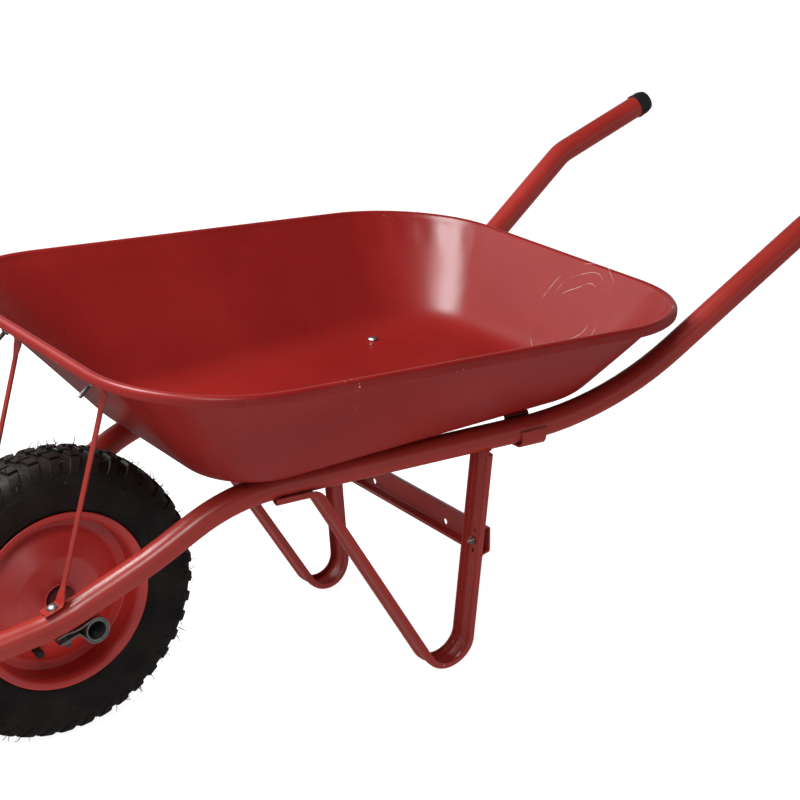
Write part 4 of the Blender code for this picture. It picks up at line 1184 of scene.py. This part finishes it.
HAIR_SETTINGS = {"Density": 6500.0, "Thickness": 0.00048, "Seed": 7}
hair_tree, size_in, end = new_tree("rubber_hairs", HAIR_SETTINGS)
scatter = add_node(hair_tree, 'GeometryNodeDistributePointsOnFaces',
                   {"Mesh": size_in["Geometry"], "Density": size_in["Density"], "Seed": size_in["Seed"]})
stalk = add_node(hair_tree, 'GeometryNodeCurveQuadraticBezier',
                 {"Resolution": 6, "Start": (0, 0, -0.001), "Middle": (0.0004, 0, 0.0042),
                  "End": (0.0036, 0.0009, 0.0062)})
taper = add_node(hair_tree, 'GeometryNodeSplineParameter').outputs["Factor"]
thin = add_node(hair_tree, 'ShaderNodeMapRange', {"Value": taper, "To Min": 1.0, "To Max": 0.45}).outputs[0]
section = add_node(hair_tree, 'GeometryNodeCurvePrimitiveCircle',
                   {"Resolution": 4, "Radius": size_in["Thickness"]}).outputs[0]
hair = add_node(hair_tree, 'GeometryNodeCurveToMesh', {"Curve": stalk.outputs[0], "Profile Curve": section,
                                                       "Scale": thin, "Fill Caps": True}).outputs[0]
lean = add_node(hair_tree, 'FunctionNodeRandomValue', {0: (-0.5, -0.5, -3.1), 1: (0.5, 0.5, 3.1), "Seed": 3},
                data_type='FLOAT_VECTOR').outputs[0]
spun = add_node(hair_tree, 'FunctionNodeRotateRotation',
                {"Rotation": scatter.outputs["Rotation"], "Rotate By": lean}, rotation_space='LOCAL').outputs[0]
tall = add_node(hair_tree, 'FunctionNodeRandomValue', {2: 0.45, 3: 1.45, "Seed": 5},
                data_type='FLOAT').outputs[1]
hairs = add_node(hair_tree, 'GeometryNodeInstanceOnPoints',
                 {"Points": scatter.outputs["Points"], "Instance": hair, "Rotation": spun,
                  "Scale": tall}).outputs[0]
close_tree(hair_tree, hairs, end, TYRE_BLACK)
hair_mesh = grow(band_mesh, hair_tree, HAIR_SETTINGS)
hair_mesh.transform(Matrix.Translation((0, 0, AXLE.z)))
finish("tyre_hairs", hair_mesh, TYRE_BLACK, "wheel", [])

# %% [markdown]
# ## Bolts and nuts
#
# There are eight bolts: one at each leg, tray corner, stay and axle clamp. The head and shank are turned. A
# thread follows a rule, one spiral with a small section swept along it, so Geometry Nodes add it: the tree
# takes the turned blank and winds a ridge round its shank. The thread's radius, height and pitch are inputs,
# which is all that differs from bolt to bolt. Nuts are six-sided with their corners turned off, so a ring of
# a nut is a hexagon cut short by a circle.

# %% Thread tree
thread_tree, size_in, end = new_tree("wind_thread", {"Shank": 0.003, "Start": 0.008, "Height": 0.010,
                                                     "Pitch": 0.0010})
turn_count = add_node(thread_tree, 'ShaderNodeMath', {0: size_in["Height"], 1: size_in["Pitch"]},
                      operation='DIVIDE').outputs[0]
ridge_path = add_node(thread_tree, 'GeometryNodeCurveSpiral',
                      {"Resolution": 24, "Rotations": turn_count, "Start Radius": size_in["Shank"],
                       "End Radius": size_in["Shank"], "Height": size_in["Height"]}).outputs[0]
ridge_size = add_node(thread_tree, 'ShaderNodeMath', {0: size_in["Pitch"], 1: 0.34},
                      operation='MULTIPLY').outputs[0]
ridge_section = add_node(thread_tree, 'GeometryNodeCurvePrimitiveCircle',
                         {"Resolution": 5, "Radius": ridge_size}).outputs[0]
ridge = add_node(thread_tree, 'GeometryNodeCurveToMesh',
                 {"Curve": ridge_path, "Profile Curve": ridge_section, "Fill Caps": True}).outputs[0]
up_to = add_node(thread_tree, 'ShaderNodeCombineXYZ', {"Z": size_in["Start"]}).outputs[0]
lifted = add_node(thread_tree, 'GeometryNodeTransform', {"Geometry": ridge, "Translation": up_to}).outputs[0]
whole = add_node(thread_tree, 'GeometryNodeJoinGeometry')
thread_tree.links.new(size_in["Geometry"], whole.inputs[0])
thread_tree.links.new(lifted, whole.inputs[0])
close_tree(thread_tree, whole.outputs[0], end, ZINC)

# %% Bolt and nut shapes
THREAD_PITCH = 0.0010
NUT_STEPS = 48


def bolt_mesh(radius, length, nut_at):
    """A round-headed bolt along +Z, with its head's flat side at Z = 0."""
    blank = [(0, -radius * 1.1), (radius * 0.75, -radius * 1.04), (radius * 1.40, -radius * 0.82),
             (radius * 1.85, -radius * 0.45), (radius * 2.0, -radius * 0.12), (radius * 1.97, 0.0),
             (radius * 0.92, 0.0), (radius * 0.92, length - radius * 0.35), (radius * 0.62, length),
             (0, length)]
    bm = turned(blank, 32, Vector((0, 0, 0)), UP)
    bmesh.ops.recalc_face_normals(bm, faces=bm.faces)
    mesh = bpy.data.meshes.new("bolt_blank")
    bm.to_mesh(mesh)
    bm.free()
    start = max(0.002, nut_at - 0.002)
    return grow(mesh, thread_tree, {"Shank": radius * 0.90, "Start": start, "Pitch": THREAD_PITCH,
                                    "Height": length - radius * 0.45 - start})


def nut_mesh(radius, nut_at):
    """A six-sided nut along +Z whose lower face is at nut_at."""
    corner = radius * 1.9
    flat = corner * math.cos(math.pi / 6)
    height = radius * 1.6
    bore = radius * 1.06
    bm = bmesh.new()
    rings = []
    for limit, z in ((flat * 0.97, 0.0), (corner * 0.985, 0.13), (corner * 0.985, 0.87), (flat * 0.97, 1.0),
                     (bore * 1.14, 1.0), (bore, 0.90), (bore, 0.10), (bore * 1.14, 0.0)):
        ring = []
        for i in range(NUT_STEPS):
            a = 2 * math.pi * i / NUT_STEPS
            off_flat = (a + math.pi / 6) % (math.pi / 3) - math.pi / 6
            r = min(limit, flat / math.cos(off_flat))
            ring.append(bm.verts.new((r * math.cos(a), r * math.sin(a), nut_at + z * height)))
        rings.append(ring)
    for a, b in zip(rings, rings[1:] + rings[:1]):
        bridge(bm, a, b)
    bmesh.ops.recalc_face_normals(bm, faces=bm.faces)
    mesh = bpy.data.meshes.new("nut")
    bm.to_mesh(mesh)
    bm.free()
    return mesh


def place_mesh(mesh, at, axis, spin):
    turn = axis.normalized().to_track_quat('Z', 'Y').to_matrix().to_4x4()
    mesh.transform(Matrix.Translation(at) @ turn @ Matrix.Rotation(spin, 4, 'Z'))
    return mesh


# %% Set the bolts
for word, side in (("left", -1), ("right", 1)):
    brace_back = LEG_REAR_X + STRAP / 2 + 2 * GAP + BRACE_DEPTH
    stay_head, stay_axis = front_wall(0.036, -GAP)
    stay_head.y = side * rail_at(CLAMP_X)[0].y
    clamp_head, clamp_axis = clamp_stack(side)
    clamp_through = 2 * TUBE_R + 4 * GAP + 2 * STRAP + STAY_LIFT + AXLE_TAIL_PITCH
    tray_head = Vector((TRAY_BOLT_X, side * TRAY_BOLT_Y, floor_z(TRAY_BOLT_X) + SHEET + 3 * GAP))
    brace_head = Vector((brace_back, side * post_y(LEG_BOLT_Z), LEG_BOLT_Z))
    tray_axis = Vector((FLOOR_SLOPE, 0, -1))
    bolts = [("brace", brace_head, Vector((-1, 0, 0)), 0.0030, 0.0260, BRACE_DEPTH + STRAP + 4 * GAP),
             ("tray", tray_head, tray_axis, 0.0035, 0.016, 5 * GAP + SHEET + CROSSBAR_SHEET),
             ("stay", stay_head, stay_axis, 0.0027, 0.026, 0.0010 + 2 * GAP + SHEET + STRAP),
             ("axle_clamp", clamp_head, clamp_axis, 0.0034, clamp_through + 0.012, clamp_through + GAP)]
    for title, at, axis, radius, length, nut_at in bolts:
        metal = DARK_STEEL if title in ("axle_clamp", "stay") else ZINC
        bolt = place_mesh(bolt_mesh(radius, length, nut_at), at, axis, 0.0)
        named = word + "_" + title
        finish(named + "_screw", bolt, metal, "body", [named + "_bolt"])
        nut = place_mesh(nut_mesh(radius, nut_at), at, axis, 0.35)
        finish(named + "_hex", nut, ZINC, "body", [named + "_nut"])

# %% [markdown]
# ## Weld beads
#
# The leg feet, the crossbar's tabs and the hub are welded, and the welds were painted over with the rest. A
# bead is a row of overlapping drops along a seam, none quite the same size. The tree below walks along a seam
# in small steps and sets one drop at each, with a fixed seed for their sizes.

# %% Bead tree
BEAD_DROP = 0.0019
BEAD_STEP = 0.0017
bead_tree, size_in, end = new_tree("weld_bead", {"Drop": BEAD_DROP, "Step": BEAD_STEP, "Seed": 11})
seam = add_node(bead_tree, 'GeometryNodeMeshToCurve', {"Mesh": size_in["Geometry"]}).outputs[0]
steps = add_node(bead_tree, 'GeometryNodeCurveToPoints', {"Curve": seam, "Length": size_in["Step"]},
                 mode='LENGTH')
drop = add_node(bead_tree, 'GeometryNodeMeshIcoSphere',
                {"Radius": size_in["Drop"], "Subdivisions": 3}).outputs[0]
vary = add_node(bead_tree, 'FunctionNodeRandomValue',
                {0: (0.80, 0.80, 0.70), 1: (1.25, 1.15, 1.05), "Seed": size_in["Seed"]},
                data_type='FLOAT_VECTOR').outputs[0]
drops = add_node(bead_tree, 'GeometryNodeInstanceOnPoints',
                 {"Points": steps.outputs["Points"], "Instance": drop, "Rotation": steps.outputs["Rotation"],
                  "Scale": vary}).outputs[0]
close_tree(bead_tree, drops, end, FRAME_RED)


def weld(name, seams, material, body, seed):
    """One mesh of beads along several seams, each a list of places."""
    places = []
    edges = []
    for seam_places in seams:
        first = len(places)
        places += seam_places
        edges += [(first + k, first + k + 1) for k in range(len(seam_places) - 1)]
    beads = grow(point_mesh(name, places, edges), bead_tree,
                 {"Drop": BEAD_DROP, "Step": BEAD_STEP, "Seed": seed})
    finish(name, beads, material, body, [])


# %% Beads on the frame and the hub
for word, side in (("left", -1), ("right", 1)):
    seams = []
    for off in (-0.0085, 0.0085):
        row = []
        for k in range(12):
            at = rail_at(LEG_FOOT_X + 0.003 + 0.0035 * k)[0]
            row.append(mirrored(at + Vector((0, off, -math.sqrt(TUBE_R ** 2 - off ** 2) - 0.0002)), side))
        seams.append(row)
    at = rail_at(LEG_REAR_X)[0]
    row = []
    for k in range(-9, 10):
        off = 0.0012 * k
        row.append(mirrored(at + Vector((-0.0015, off, -math.sqrt(TUBE_R ** 2 - off ** 2) - 0.0006)), side))
    seams.append(row)
    at, run = rail_at(CROSSBAR_X)
    tab_end = Vector((0, TUBE_R + 0.0012, 0.0022))
    seams.append([mirrored(at + run * (0.0028 * k) + tab_end, side) for k in range(-6, 7)])
    weld(word + "_frame_welds", seams, FRAME_RED, "body", 11 if side > 0 else 12)
HUB_SEAM_R = 0.0194
HUB_SEAM_STEPS = 60
for word, side in (("left", -1), ("right", 1)):
    ring = []
    for k in range(HUB_SEAM_STEPS + 1):
        a = 2 * math.pi * k / HUB_SEAM_STEPS
        ring.append(AXLE_CENTRE + Vector((HUB_SEAM_R * math.cos(a), side * 0.0256, HUB_SEAM_R * math.sin(a))))
    weld(word + "_hub_weld", [ring], LIT_DISC_RED, "wheel", 21 if side > 0 else 22)

# %% [markdown]
# ## Floor, light and camera
#
# A wide pale floor and a pale sky with a darker top stand in for a bright studio. The darker top gives the
# enamel something to show in its reflections, and one large soft light above makes the broad highlights.

# %% Studio
floor_bm = bmesh.new()
FLOOR_HALF = 30.0
bmesh.ops.create_grid(floor_bm, x_segments=2, y_segments=2, size=FLOOR_HALF)
for vertex in floor_bm.verts:
    vertex.co.z = -0.0005
floor_mesh = bpy.data.meshes.new("studio_floor")
floor_bm.to_mesh(floor_mesh)
floor_bm.free()
studio_floor = bpy.data.objects.new("studio_floor", floor_mesh)
bpy.context.scene.collection.objects.link(studio_floor)
floor_material, _, floor_shader, _ = new_material("pale_floor")
floor_shader.inputs["Base Color"].default_value = (0.32, 0.32, 0.32, 1)
floor_shader.inputs["Emission Color"].default_value = (1.0, 1.0, 1.0, 1)
floor_shader.inputs["Emission Strength"].default_value = 0.93
floor_shader.inputs["Roughness"].default_value = 0.9
floor_mesh.materials.append(floor_material)

world = bpy.data.worlds.new("studio")
bpy.context.scene.world = world
world.use_nodes = True
sky = world.node_tree
direction = add_node(sky, 'ShaderNodeTexCoord').outputs["Generated"]
height = add_node(sky, 'ShaderNodeSeparateXYZ', {0: direction}).outputs["Z"]
share = add_node(sky, 'ShaderNodeMapRange', {"Value": height, "From Min": 0.18, "From Max": 0.46}).outputs[0]
tint = blend_colour(sky, share, (0.52, 0.52, 0.53, 1), (0.05, 0.05, 0.055, 1))
below = add_node(sky, 'ShaderNodeMapRange', {"Value": height, "From Min": -0.04, "From Max": 0.0}).outputs[0]
tint = blend_colour(sky, below, (0.16, 0.16, 0.16, 1), tint)
sky.links.new(tint, sky.nodes["Background"].inputs["Color"])
sky.nodes["Background"].inputs["Strength"].default_value = 1.0


def soft_light(name, place, target, size, energy):
    lamp = bpy.data.lights.new(name, 'AREA')
    lamp.shape = 'SQUARE'
    lamp.size = size
    lamp.energy = energy
    holder = bpy.data.objects.new(name, lamp)
    holder.location = place
    holder.rotation_euler = (Vector(target) - Vector(place)).to_track_quat('-Z', 'Y').to_euler()
    bpy.context.scene.collection.objects.link(holder)
    return holder


lights = [soft_light("over_light", (-1.50, 0.62, 2.35), (0.1, 0.0, 0.3), 1.2, 122.0),
          soft_light("side_light", (-1.6, -1.9, 2.4), (-0.2, 0.0, 0.2), 0.8, 34.0),
          soft_light("back_light", (-1.0, 2.6, 1.5), (0.1, 0.0, 0.3), 1.6, 12.0)]
studio_floor.visible_glossy = False

camera_data = bpy.data.cameras.new("camera")
camera_data.lens = 86.0
camera_data.sensor_width = 36.0
camera = bpy.data.objects.new("camera", camera_data)
camera.location = (-0.8271 + AXLE.x, -1.8923, 1.1779)
camera.rotation_euler = (math.radians(90 - 20.572), 0.0, math.radians(-35.075))
bpy.context.scene.collection.objects.link(camera)
bpy.context.scene.camera = camera
bpy.context.scene.view_settings.view_transform = 'Standard'
